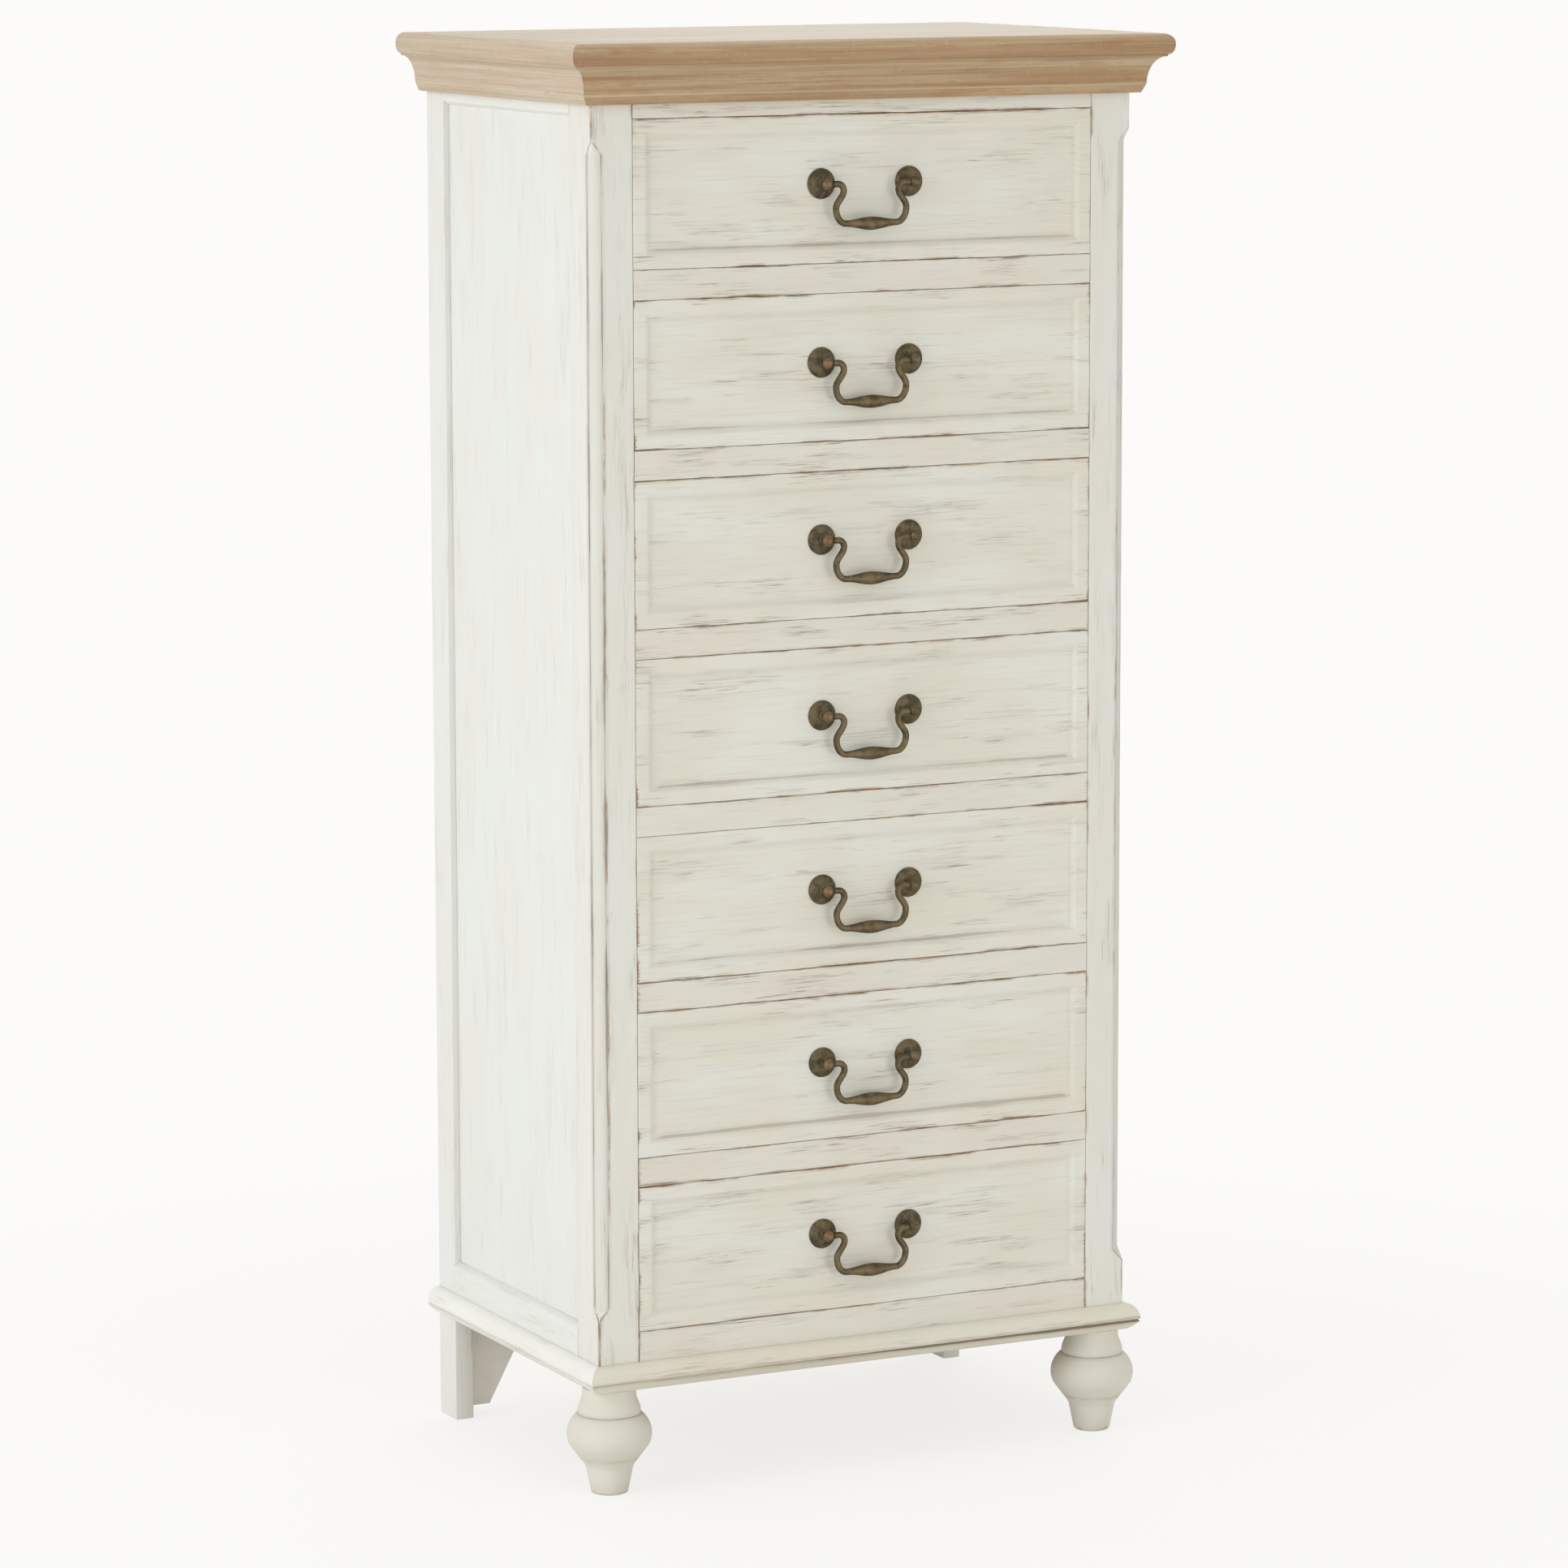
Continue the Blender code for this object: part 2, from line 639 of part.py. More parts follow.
def foot_profile():
    """Outline of the turned foot: neck, collar, bulb with a straight taper, waist and toe."""
    top = FOOT_HEIGHT - FIT
    profile = [(0.0, top), (FOOT_NECK_RADIUS, top)]
    flare = FOOT_COLLAR_RADIUS - FOOT_NECK_RADIUS
    drop = FOOT_NECK_LEVEL - FOOT_COLLAR_LEVEL
    for i in range(SHORT_ARC_STEPS + 1):
        part = i / SHORT_ARC_STEPS
        blend = (1.0 - math.cos(math.pi * part)) / 2
        profile.append((FOOT_NECK_RADIUS + flare * blend, FOOT_NECK_LEVEL - drop * part))
    profile.append((FOOT_COLLAR_RADIUS - FOOT_GROOVE, FOOT_COLLAR_LEVEL - FOOT_GROOVE))

    shoulder, belly = FOOT_SHOULDER_CURVE, FOOT_BELLY_CURVE
    rise = FOOT_COLLAR_LEVEL - 2 * FOOT_GROOVE - FOOT_BULB_LEVEL
    start = math.degrees(math.asin(rise / shoulder))
    centre = (FOOT_BULB_RADIUS - shoulder, FOOT_BULB_LEVEL)
    profile += arc(centre, (shoulder, shoulder), start, 0, SHORT_ARC_STEPS)
    toe_slope = math.atan2(FOOT_WAIST_RADIUS - FOOT_TOE_RADIUS, FOOT_WAIST_LEVEL - FOOT_TOE_ROUND)
    waist = (
        FOOT_WAIST_RADIUS + FOOT_WAIST_CURVE * math.cos(toe_slope),
        FOOT_WAIST_LEVEL - FOOT_WAIST_CURVE * math.sin(toe_slope),
    )
    centre = (FOOT_BULB_RADIUS - belly, FOOT_BULB_LEVEL)
    taper = taper_slope(centre, waist, belly + FOOT_WAIST_CURVE)
    profile += arc(centre, (belly, belly), 0, -math.degrees(taper), SHORT_ARC_STEPS)[1:]

    below = profile[-1]
    line_radius = below[0] - (below[1] - FOOT_LINE_LEVEL) * math.tan(taper)
    lean = FOOT_GROOVE * math.tan(taper)
    profile.append((line_radius + lean, FOOT_LINE_LEVEL + FOOT_GROOVE))
    profile.append((line_radius - FOOT_GROOVE, FOOT_LINE_LEVEL))
    profile.append((line_radius - lean, FOOT_LINE_LEVEL - FOOT_GROOVE))
    radii = (FOOT_WAIST_CURVE, FOOT_WAIST_CURVE)
    ends = (180 - math.degrees(taper), 180 - math.degrees(toe_slope))
    profile += arc(waist, radii, *ends, SHORT_ARC_STEPS)
    profile.append((FOOT_TOE_RADIUS, FOOT_TOE_ROUND))
    profile.append((FOOT_TOE_RADIUS - FOOT_TOE_ROUND / 2, FOOT_TOE_ROUND / 4))
    profile.append((FOOT_TOE_RADIUS - FOOT_TOE_ROUND, 0.0))
    profile.append((0.0, 0.0))
    return profile


def taper_slope(bulb, waist, gap):
    """Lean from upright of the straight line that touches the bulb's circle and the waist's.

    The circles' centres are given as (radius, level), they curve opposite ways, and the gap
    is the sum of their radii.
    """
    across, down = waist[0] - bulb[0], bulb[1] - waist[1]
    return math.atan2(down, across) - math.acos(gap / math.hypot(across, down))


def front_feet():
    """Turned foot under the middle of each front post."""
    mesh = turned_mesh("front_foot", foot_profile(), FOOT_STEPS)
    for name, side in (("foot_left", -1), ("foot_right", 1)):
        foot = add_part(name, mesh, PAINT)
        foot.location = (side * (CASE_SIDE - POST_WIDTH / 2), CASE_FRONT + POST_DEPTH / 2, 0.0)


# Drawers: each is built about the middle of its opening, in the plane of the case's front

def drawer_front_mesh():
    """Inset front with a raised border round a flat panel."""
    side = OPENING_SIDE - DRAWER_GAP
    half = OPENING_HEIGHT / 2 - DRAWER_GAP
    mesh = box_mesh("drawer_front", (-side, 0.0, -half), (side, FRONT_THICKNESS, half))
    bm = bmesh.new()
    bm.from_mesh(mesh)
    bm.faces.ensure_lookup_table()
    face = min(bm.faces, key=lambda item: item.calc_center_median().y)
    outer_edges = list(face.edges)
    bmesh.ops.inset_region(bm, faces=[face], thickness=FRONT_BORDER)
    bmesh.ops.inset_region(bm, faces=[face], thickness=FRONT_RECESS_BEVEL, depth=-FRONT_RECESS)
    bmesh.ops.bevel(bm, geom=outer_edges, offset=FRONT_EDGE_BEVEL, segments=1, affect="EDGES")
    bm.to_mesh(mesh)
    bm.free()
    return mesh


def drawer_box_mesh():
    """Open box behind a front, its bottom let in above the lower edges of the sides."""
    side = OPENING_SIDE - BOX_SIDE_CLEARANCE
    low = FIT - OPENING_HEIGHT / 2
    front = FRONT_THICKNESS + FIT
    rear = BACK_FACE - BOX_BACK_CLEARANCE - CASE_FRONT
    mesh = box_mesh("drawer_box", (-side, front, low), (side, rear, low + BOX_HEIGHT))
    bm = bmesh.new()
    bm.from_mesh(mesh)
    pockets = (
        (max, BOX_BOTTOM_RAISE + BOX_BOTTOM_THICKNESS - BOX_HEIGHT),
        (min, BOX_BOTTOM_RAISE),
    )
    for pick, shift in pockets:
        face = pick(bm.faces, key=lambda item: item.calc_center_median().z)
        bmesh.ops.inset_region(bm, faces=[face], thickness=BOX_WALL)
        floor = bmesh.ops.extrude_face_region(bm, geom=[face])
        moved = [item for item in floor["geom"] if isinstance(item, bmesh.types.BMVert)]
        bmesh.ops.translate(bm, vec=(0.0, 0.0, shift), verts=moved)
        bmesh.ops.delete(bm, geom=[face], context="FACES")
    bm.to_mesh(mesh)
    bm.free()
    return mesh


def handle_post_mesh(name, toward_middle):
    """Domed rose, neck and round head in one turning, with a blind hole for the bail's pin.

    It stands along +Z from the face that it is bolted to; the hole faces toward_middle, the
    side on +X or -X where the bail is.
    """
    profile = [(0.0, KNOB_REACH), (KNOB_FLAT_RADIUS, KNOB_REACH)]
    profile += arc((0.0, PIVOT_STANDOFF), (KNOB_RADIUS, KNOB_RADIUS), 50, -45, SHORT_ARC_STEPS)
    profile.append((NECK_RADIUS, ROSE_DOME + NECK_RADIUS / 2))
    profile.append((NECK_RADIUS + ROSE_RIM, ROSE_DOME))
    dome = (ROSE_RADIUS, ROSE_DOME - ROSE_RIM)
    profile += arc((0.0, FIT + ROSE_RIM), dome, 62, 0, SHORT_ARC_STEPS)
    profile.append((ROSE_RADIUS, FIT))
    profile.append((0.0, FIT))
    blank = bpy.data.objects.new(name, turned_mesh(name, profile, KNOB_STEPS))
    CUTTERS.objects.link(blank)
    hole = bpy.data.meshes.new(name + "_hole")
    bm = bmesh.new()
    radius = PIN_RADIUS + PIN_CLEARANCE
    depth = 2 * KNOB_RADIUS
    bmesh.ops.create_cone(
        bm, cap_ends=True, segments=HOLE_STEPS, radius1=radius, radius2=radius, depth=depth
    )
    bmesh.ops.rotate(bm, matrix=Matrix.Rotation(math.radians(90), 3, "Y"), verts=bm.verts)
    shift = (toward_middle * depth / 2, 0.0, PIVOT_STANDOFF)
    bmesh.ops.translate(bm, vec=shift, verts=bm.verts)
    bm.to_mesh(hole)
    bm.free()
    drill = add_cutter(name + "_hole", hole)
    combine(blank, drill, "DIFFERENCE")
    bpy.context.view_layer.update()
    mesh = finished_mesh(blank)
    bpy.data.objects.remove(drill, do_unlink=True)
    return mesh


def bail_path():
    """Half of the bail's centre line from its pin to the middle of the grip, as (x, z, radius).

    The pin runs level toward the middle, a shoulder turns it down to the waist, the neck
    swings out to the belly, and a corner leads into a grip that thickens to its middle.
    """
    knob_face = HANDLE_CENTRES / 2 - KNOB_RADIUS
    path = [(knob_face + PIN_LENGTH, 0.0, PIN_RADIUS), (knob_face - FIT, 0.0, PIN_RADIUS)]
    path.append((knob_face - FIT - PIN_RADIUS / 2, 0.0, ROD_RADIUS))
    bend = BAIL_SHOULDER_RADIUS
    for x, z in arc((BAIL_WAIST + bend, -bend), (bend, bend), 90, 180, SHORT_ARC_STEPS):
        path.append((x, z, ROD_RADIUS))
    swing = BAIL_BELLY - BAIL_WAIST
    fall = BAIL_BELLY_DROP - bend
    for i in range(1, SHORT_ARC_STEPS + 1):
        part = i / SHORT_ARC_STEPS
        blend = (1.0 - math.cos(math.pi * part)) / 2
        path.append((BAIL_WAIST + swing * blend, -bend - fall * part, ROD_RADIUS))
    corner = BAIL_CORNER_RADIUS
    side_drop = BAIL_DROP - BAIL_GRIP_RISE - BAIL_BELLY_DROP
    centre = (BAIL_BELLY - corner, -BAIL_BELLY_DROP)
    for x, z in arc(centre, (corner, side_drop), 0, -90, SHORT_ARC_STEPS)[1:]:
        path.append((x, z, ROD_RADIUS))
    start = BAIL_BELLY - corner
    for i in range(1, SHORT_ARC_STEPS + 1):
        part = i / SHORT_ARC_STEPS
        rise = math.cos(math.pi * part / 2) ** 2
        swell = math.sin(math.pi * part / 2) ** 2
        radius = ROD_RADIUS + (GRIP_RADIUS - ROD_RADIUS) * swell
        path.append((start * (1.0 - part), -BAIL_DROP + BAIL_GRIP_RISE * rise, radius))
    return path


def bail_mesh():
    """Bail hanging from its pins, which lie along X through the origin."""
    half = bail_path()
    path = half + [(-x, z, radius) for x, z, radius in reversed(half[:-1])]
    curve = bpy.data.curves.new("bail", "CURVE")
    curve.dimensions = "3D"
    curve.bevel_depth = 1.0
    curve.bevel_resolution = 2
    curve.use_fill_caps = True
    spline = curve.splines.new("POLY")
    spline.points.add(len(path) - 1)
    for point, (x, z, radius) in zip(spline.points, path):
        point.co = (x, 0.0, z, 1.0)
        point.radius = radius
    mesh = welded_curve("bail", curve)
    mesh.shade_smooth()
    mesh.set_sharp_from_angle(angle=SHARP_ANGLE)
    return mesh


def drawers():
    """Drawer in each opening, with its front, box, two handle posts and bail."""
    front_mesh = drawer_front_mesh()
    box = drawer_box_mesh()
    posts = (
        ("left", -1, handle_post_mesh("handle_post_left", 1)),
        ("right", 1, handle_post_mesh("handle_post_right", -1)),
    )
    bail = bail_mesh()
    for number in range(1, DRAWER_COUNT + 1):
        middle = opening_bottom(number) + OPENING_HEIGHT / 2
        slide = add_axis(f"drawer_{number}_slide", (0.0, CASE_FRONT, middle))
        add_part(f"drawer_front_{number}", front_mesh, PAINT, slide)
        add_part(f"drawer_box_{number}", box, PINE, slide)
        for word, side, mesh in posts:
            post = add_part(f"handle_post_{word}_{number}", mesh, BRASS, slide)
            post.rotation_euler.x = math.radians(90)
            post.location = (side * HANDLE_CENTRES / 2, FRONT_RECESS, PIVOT_HEIGHT)
        swing = add_axis(f"bail_{number}_swing", (0.0, -PIVOT_OUT, PIVOT_HEIGHT), slide)
        add_part(f"bail_{number}", bail, BRASS, swing)


front_post("front_post_left", -1)
front_post("front_post_right", 1)
rear_post("rear_post_left", -1)
rear_post("rear_post_right", 1)
side_panel("side_panel_left", -1)
side_panel("side_panel_right", 1)
top_rail()
runner_frames()
back_panel()
rear_apron()
top_board()
mouldings()
front_feet()
drawers()
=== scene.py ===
"""Seven-drawer tallboy: worn paint over pine, limed oak top and aged brass bails.

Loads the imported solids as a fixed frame, lays a finished skin over each of them, adds the
joinery and small fittings that the solids leave out, and sets up a pale studio round it.
Metres, +Z up, the drawers open toward -Y.
"""

from __future__ import annotations

import logging
import math
from dataclasses import dataclass
from enum import Enum
from typing import Any, Iterable, Sequence

import bpy
import numpy as np
from mathutils import Matrix, Vector


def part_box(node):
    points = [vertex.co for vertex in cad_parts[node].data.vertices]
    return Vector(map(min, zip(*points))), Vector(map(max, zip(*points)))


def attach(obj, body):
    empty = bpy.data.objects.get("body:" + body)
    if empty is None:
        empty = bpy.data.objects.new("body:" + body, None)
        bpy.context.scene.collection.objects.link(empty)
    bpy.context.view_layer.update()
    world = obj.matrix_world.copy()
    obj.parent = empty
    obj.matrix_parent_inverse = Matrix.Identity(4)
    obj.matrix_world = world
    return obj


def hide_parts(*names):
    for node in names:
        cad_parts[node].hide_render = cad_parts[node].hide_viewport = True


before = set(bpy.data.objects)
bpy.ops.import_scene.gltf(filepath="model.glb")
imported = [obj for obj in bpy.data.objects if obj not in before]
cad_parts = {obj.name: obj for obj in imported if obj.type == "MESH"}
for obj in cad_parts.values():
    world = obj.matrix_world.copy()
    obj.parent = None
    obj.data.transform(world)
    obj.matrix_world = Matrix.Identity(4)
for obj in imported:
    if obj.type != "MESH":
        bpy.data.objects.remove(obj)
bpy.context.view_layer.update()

LOG = logging.getLogger("tallboy")
MM = 0.001
DRAWERS = range(1, 8)
SIDES = (("left", -1.0), ("right", 1.0))
MARKS = ("arris", "crease", "rub")
ARRIS_REACH = 12 * MM
CREASE_REACH = 8 * MM
USUAL_RUB = 0.6
BACKWARD = (0.0, 1.0, 0.0)
UPWARD = (0.0, 0.0, 1.0)
Triple = tuple[float, float, float]


# Working out shapes


def ease(value: np.ndarray) -> np.ndarray:
    """S-shaped step from 0 to 1: three squares less two cubes of the value held to 0..1."""
    held = np.clip(value, 0.0, 1.0)
    return held * held * (3.0 - 2.0 * held)


def rows_of(first: Any, second: Any) -> np.ndarray:
    """Rows of (first, second); a single number serves every row."""
    return np.stack(np.broadcast_arrays(first, second), axis=-1)


def bend(start: float, end: float, steps: int) -> np.ndarray:
    """Unit circle points (cosine, sine) from one angle to another, in degrees."""
    angle = np.radians(np.linspace(start, end, steps + 1))
    return rows_of(np.cos(angle), np.sin(angle))


def ripple(place: np.ndarray, length: float, seed: int) -> np.ndarray:
    """Uneven wave between 0 and 1, as a plane iron or sandpaper leaves along an edge.

    It sums five sines whose lengths lie round the one given and whose phases come from the seed.

    Args:
        place: Distances along the edge.
        length: Middle wave length.
        seed: Number that picks this edge's waves.

    Returns:
        One value for each place.
    """
    source = np.random.default_rng(seed)
    lengths = length * source.uniform(0.35, 1.9, 5)
    phases = source.uniform(0.0, math.tau, 5)
    waves = np.sin(math.tau * np.asarray(place)[..., None] / lengths + phases)
    return 0.5 + 0.1 * waves.sum(axis=-1)


def closeness(profile: np.ndarray, marked: Sequence[int], reach: float) -> np.ndarray:
    """How near each point of a profile is to its marked points.

    One at a marked point, falling evenly to nought at the reach, measured along the profile.

    Args:
        profile: Points of the profile, one a row.
        marked: Numbers of the marked points.
        reach: Distance at which the value is nought.

    Returns:
        One value for each point.
    """
    if not len(marked):
        return np.zeros(len(profile))
    steps = np.linalg.norm(np.diff(profile, axis=0), axis=1)
    place = np.concatenate([[0.0], np.cumsum(steps)])
    gap = np.abs(place[:, None] - place[list(marked)][None, :]).min(axis=1)
    return np.clip(1.0 - gap / reach, 0.0, 1.0)


@dataclass
class Skin:
    """Closed skin of a piece, worked out as arrays.

    Attributes:
        points: Places of the points.
        quads: Point numbers of the four-sided faces.
        caps: Rings of point numbers, each closed by one flat face.
        arris: One at an outer edge that hands and sandpaper reach, nought 12 mm from it.
        crease: One at an inner corner, nought 8 mm from it; it lays on dark wax and a soft painted shade.
        rub: How hard paint was sanded there; on oak, how much browner it is painted over USUAL_RUB,
            for stains and painted shade, or paler under it, for painted highlight.
    """

    points: np.ndarray
    quads: np.ndarray
    caps: list[np.ndarray]
    arris: np.ndarray
    crease: np.ndarray
    rub: np.ndarray

    def outward(self) -> Skin:
        """Turn the faces outwards, which makes the volume positive.

        Returns:
            The same skin.
        """
        volume = 0.0
        for faces in (self.quads, *[cap[None, :] for cap in self.caps]):
            corner = self.points[faces]
            first = corner[:, :1]
            volume += float((first * np.cross(corner[:, 1:-1] - first, corner[:, 2:] - first)).sum())
        if volume < 0.0:
            self.quads = self.quads[:, ::-1]
            self.caps = [cap[::-1] for cap in self.caps]
        return self


def joined(skins: Iterable[Skin]) -> Skin:
    """Several closed skins as one, each turned outwards first.

    Args:
        skins: The skins, which don't share points.

    Returns:
        One skin with all their points and faces.
    """
    parts = [skin.outward() for skin in skins]
    starts = np.cumsum([0] + [len(skin.points) for skin in parts])
    points = np.concatenate([skin.points for skin in parts])
    quads = np.concatenate([skin.quads + start for skin, start in zip(parts, starts)])
    caps = [cap + start for skin, start in zip(parts, starts) for cap in skin.caps]
    marks = [np.concatenate([getattr(skin, word) for skin in parts]) for word in MARKS]
    return Skin(points, quads, caps, *marks)


def closed_grid(points: np.ndarray, arris: np.ndarray, crease: np.ndarray) -> Skin:
    """Skin over a grid whose columns close into rings and whose end rows are capped.

    Args:
        points: Grid of places, rows by columns by three.
        arris: Edge marks that spread over the grid.
        crease: Inner corner marks that spread over the grid.

    Returns:
        The closed skin.
    """
    rows, columns = points.shape[:2]
    i = np.arange(rows - 1)[:, None] * columns
    j = np.arange(columns)[None, :]
    k = (j + 1) % columns
    quads = np.stack([i + j, i + k, i + columns + k, i + columns + j], axis=-1).reshape(-1, 4)
    ring = np.arange(columns)
    caps = [ring[::-1], ring + (rows - 1) * columns]
    marks = [np.broadcast_to(mark, (rows, columns)).ravel().copy() for mark in (arris, crease)]
    return Skin(points.reshape(-1, 3), quads, caps, *marks, np.full(rows * columns, USUAL_RUB))


@dataclass(frozen=True)
class Place:
    """Where a worked-out shape stands: an origin and three directions.

    Attributes:
        origin: Place of the shape's own zero.
        across: Direction of its first measure.
        up: Direction of its second measure.
        out: Direction that its face looks in.
    """

    origin: Triple
    across: Triple = (1.0, 0.0, 0.0)
    up: Triple = UPWARD
    out: Triple = (0.0, -1.0, 0.0)

    def at(self, across: np.ndarray, up: np.ndarray, out: np.ndarray) -> np.ndarray:
        """Places in the scene: the origin plus each amount times its direction.

        Args:
            across: Amounts along the across direction.
            up: Amounts along the up direction.
            out: Amounts along the out direction.

        Returns:
            One place for each point.
        """
        sums = np.zeros(np.broadcast(across, up, out).shape + (3,)) + np.array(self.origin)
        for amount, way in ((across, self.across), (up, self.up), (out, self.out)):
            sums = sums + np.asarray(amount)[..., None] * np.array(way)
        return sums


def side_on(x: float, way: float) -> Place:
    """Place on the plane at x that looks left or right, with its first measure backward."""
    return Place((x, 0.0, 0.0), BACKWARD, out=(way, 0.0, 0.0))


@dataclass(frozen=True)
class Outline:
    """Closed outline of a board's face.

    Attributes:
        points: Its points in order, the first not repeated.
        steps: For each point the step that moves its two sides inward by one.
    """

    points: np.ndarray
    steps: np.ndarray


def outline_of(corners: Any, spacing: float) -> Outline:
    """Outline through the corners, with points every so often along its sides.

    The step of a corner is the sum of the normals of the two sides that meet there, over one
    plus their product. Points between two corners share their steps evenly.

    Args:
        corners: Corners in order, two numbers each.
        spacing: Largest distance between neighbouring points.

    Returns:
        The outline.
    """
    corners = np.array(corners, dtype=float)
    ahead = np.roll(corners, -1, axis=0) - corners
    lengths = np.linalg.norm(ahead, axis=1, keepdims=True)
    ahead = ahead / lengths
    after = rows_of(-ahead[:, 1], ahead[:, 0])
    before = np.roll(after, 1, axis=0)
    x, y = corners.T
    area = float((x * np.roll(y, -1) - y * np.roll(x, -1)).sum())
    steps = (before + after) / (1.0 + (before * after).sum(axis=1, keepdims=True))
    steps = steps if area > 0.0 else -steps
    counts = np.maximum(1, np.ceil(lengths[:, 0] / spacing)).astype(int)
    side = np.repeat(np.arange(len(corners)), counts)
    first = np.repeat(np.cumsum(counts) - counts, counts)
    share = ((np.arange(counts.sum()) - first) / counts[side])[:, None]
    following = (side + 1) % len(corners)
    spread = [row[side] * (1.0 - share) + row[following] * share for row in (corners, steps)]
    return Outline(*spread)


def carried_round(
    outline: Outline, profile: np.ndarray, place: Place, arrises: Sequence[int] = (),
    creases: Sequence[int] = (), wander: float = 0.0, seed: int = 0,
) -> Skin:
    """Board whose edge profile is carried round its outline.

    Row i and column j of the grid lie at outline point j, moved inward by the profile's inset i
    and back from the face by its depth i. At an arris the inset grows by up to wander, as an
    uneven wave along the outline.

    Args:
        outline: Closed outline of the board's face.
        profile: Rows of (inset, depth), from the middle of the face to the middle of the back.
        place: Where the face stands.
        arrises: Rows of the profile on an outer edge.
        creases: Rows of the profile on an inner corner.
        wander: Most that a worn edge is lower than a sharp one.
        seed: Picks the wear's wave.

    Returns:
        The closed board.
    """
    arris = closeness(profile, arrises, ARRIS_REACH)[:, None]
    gaps = np.diff(outline.points, axis=0, append=outline.points[:1])
    run = np.linalg.norm(gaps, axis=1).cumsum()
    worn = np.clip(arris * 6.0 - 5.0, 0.0, 1.0) * ripple(run, 0.05, seed)[None, :]
    inset = (profile[:, :1] + wander * worn)[..., None]
    face = outline.points + inset * outline.steps
    points = place.at(face[..., 0], face[..., 1], -(profile[:, 1:] + 0.7 * wander * worn))
    return closed_grid(points, arris, closeness(profile, creases, CREASE_REACH)[:, None])


def board_profile(thickness: float, rounding: float, room: float) -> tuple[np.ndarray, list[int]]:
    """Edge profile of a plain board with eased edges.

    Args:
        thickness: Distance from face to back.
        rounding: Radius of the eased edges.
        room: Half of the narrower side of the face, which holds the insets back.

    Returns:
        Rows of (inset, depth) and the numbers of the rows on the two arrises.
    """
    insets = np.array([12.5, 8.0, 5.0, 3.0, 1.8]) * MM
    insets = insets[(insets < 0.8 * room) & (insets > 1.3 * rounding)]
    front = np.concatenate([rows_of(insets, 0.0), rounding * (1.0 - bend(0, 90, 4)[:, ::-1])])
    back = front[::-1] * [1.0, -1.0] + [0.0, thickness]
    arris = len(insets) + 2
    return np.concatenate([front, back]), [arris, 2 * len(front) - 1 - arris]


class Facing(Enum):
    """Direction that a board's broad face looks in, as (axis, first and second measure)."""

    FRONT = (1, 0, 2)
    SIDE = (0, 1, 2)
    UP = (2, 0, 1)


def board(
    low: Sequence[float], high: Sequence[float], facing: Facing, rounding: float = 1.0 * MM,
    wander: float = 0.0, seed: int = 0, step: float = 0.02,
) -> Skin:
    """Plain board between two corners, with eased and slightly uneven edges.

    Args:
        low: Lowest corner.
        high: Highest corner.
        facing: Direction of its broad face.
        rounding: Radius of its eased edges.
        wander: Unevenness of its edges.
        seed: Picks the unevenness.
        step: Spacing of points along the edges.

    Returns:
        The closed board.
    """
    axis, a, b = facing.value
    corner = np.array(low, dtype=float)
    size = np.array(high, dtype=float) - corner
    ways = np.eye(3)
    origin = tuple(corner + ways[axis] * size[axis])
    place = Place(origin, tuple(ways[a]), tuple(ways[b]), tuple(ways[axis]))
    profile, arrises = board_profile(size[axis], rounding, min(size[a], size[b]) / 2)
    outline = outline_of([[0, 0], [size[a], 0], [size[a], size[b]], [0, size[b]]], step)
    return carried_round(outline, profile, place, arrises, wander=wander, seed=seed)


def carried_along(
    profile: np.ndarray, starts: np.ndarray, ends: np.ndarray, place: Place,
    arrises: Sequence[int] = (), creases: Sequence[int] = (), wander: float = 0.0, seed: int = 0,
    step: float = 0.012,
) -> Skin:
    """Moulding whose closed section is carried along a straight run, with cut ends.

    Row i and column j of the grid lie at section point j, a share i of the way from where that
    point starts to where it ends. Starts and ends that grow with the distance out from the wall
    give mitres. At an arris the section sinks by up to wander.

    Args:
        profile: Closed section, rows of (out, up).
        starts: Where each section point starts along the run.
        ends: Where each section point ends along the run.
        place: Its across direction is the run's, and out is away from the wall.
        arrises: Section points on an outer edge.
        creases: Section points on an inner corner.
        wander: Most that a worn edge is lower than a sharp one.
        seed: Picks the wear's wave.
        step: Spacing of rows along the run.

    Returns:
        The closed moulding.
    """
    count = max(2, math.ceil(float(np.max(ends - starts)) / step))
    share = np.linspace(0.0, 1.0, count + 1)[:, None]
    along = starts[None, :] * (1.0 - share) + ends[None, :] * share
    arris = closeness(profile, arrises, ARRIS_REACH)[None, :]
    worn = np.clip(arris * 6.0 - 5.0, 0.0, 1.0) * ripple(along, 0.05, seed)
    points = place.at(along, profile[None, :, 1] + 0 * along, profile[None, :, 0] - wander * worn)
    return closed_grid(points, arris, closeness(profile, creases, CREASE_REACH)[None, :])


def turned(
    profile: np.ndarray, place: Place, steps: int, arrises: Sequence[int] = (),
    creases: Sequence[int] = (),
) -> Skin:
    """Turning about the place's out direction.

    Row i and column j lie at the profile's radius i, an angle j round, and its height i out.

    Args:
        profile: Rows of (radius, height) with small radii at both ends, which are capped.
        place: Centre of the turning; out is its axis.
        steps: Points in each ring.
        arrises: Rows on an outer edge.
        creases: Rows on an inner corner.

    Returns:
        The closed turning.
    """
    angle = np.arange(steps)[None, :] * math.tau / steps
    radius, height = profile[:, :1], profile[:, 1:]
    points = place.at(radius * np.cos(angle), radius * np.sin(angle), height + 0 * angle)
    arris = closeness(profile, arrises, ARRIS_REACH)[:, None]
    return closed_grid(points, arris, closeness(profile, creases, CREASE_REACH)[:, None])


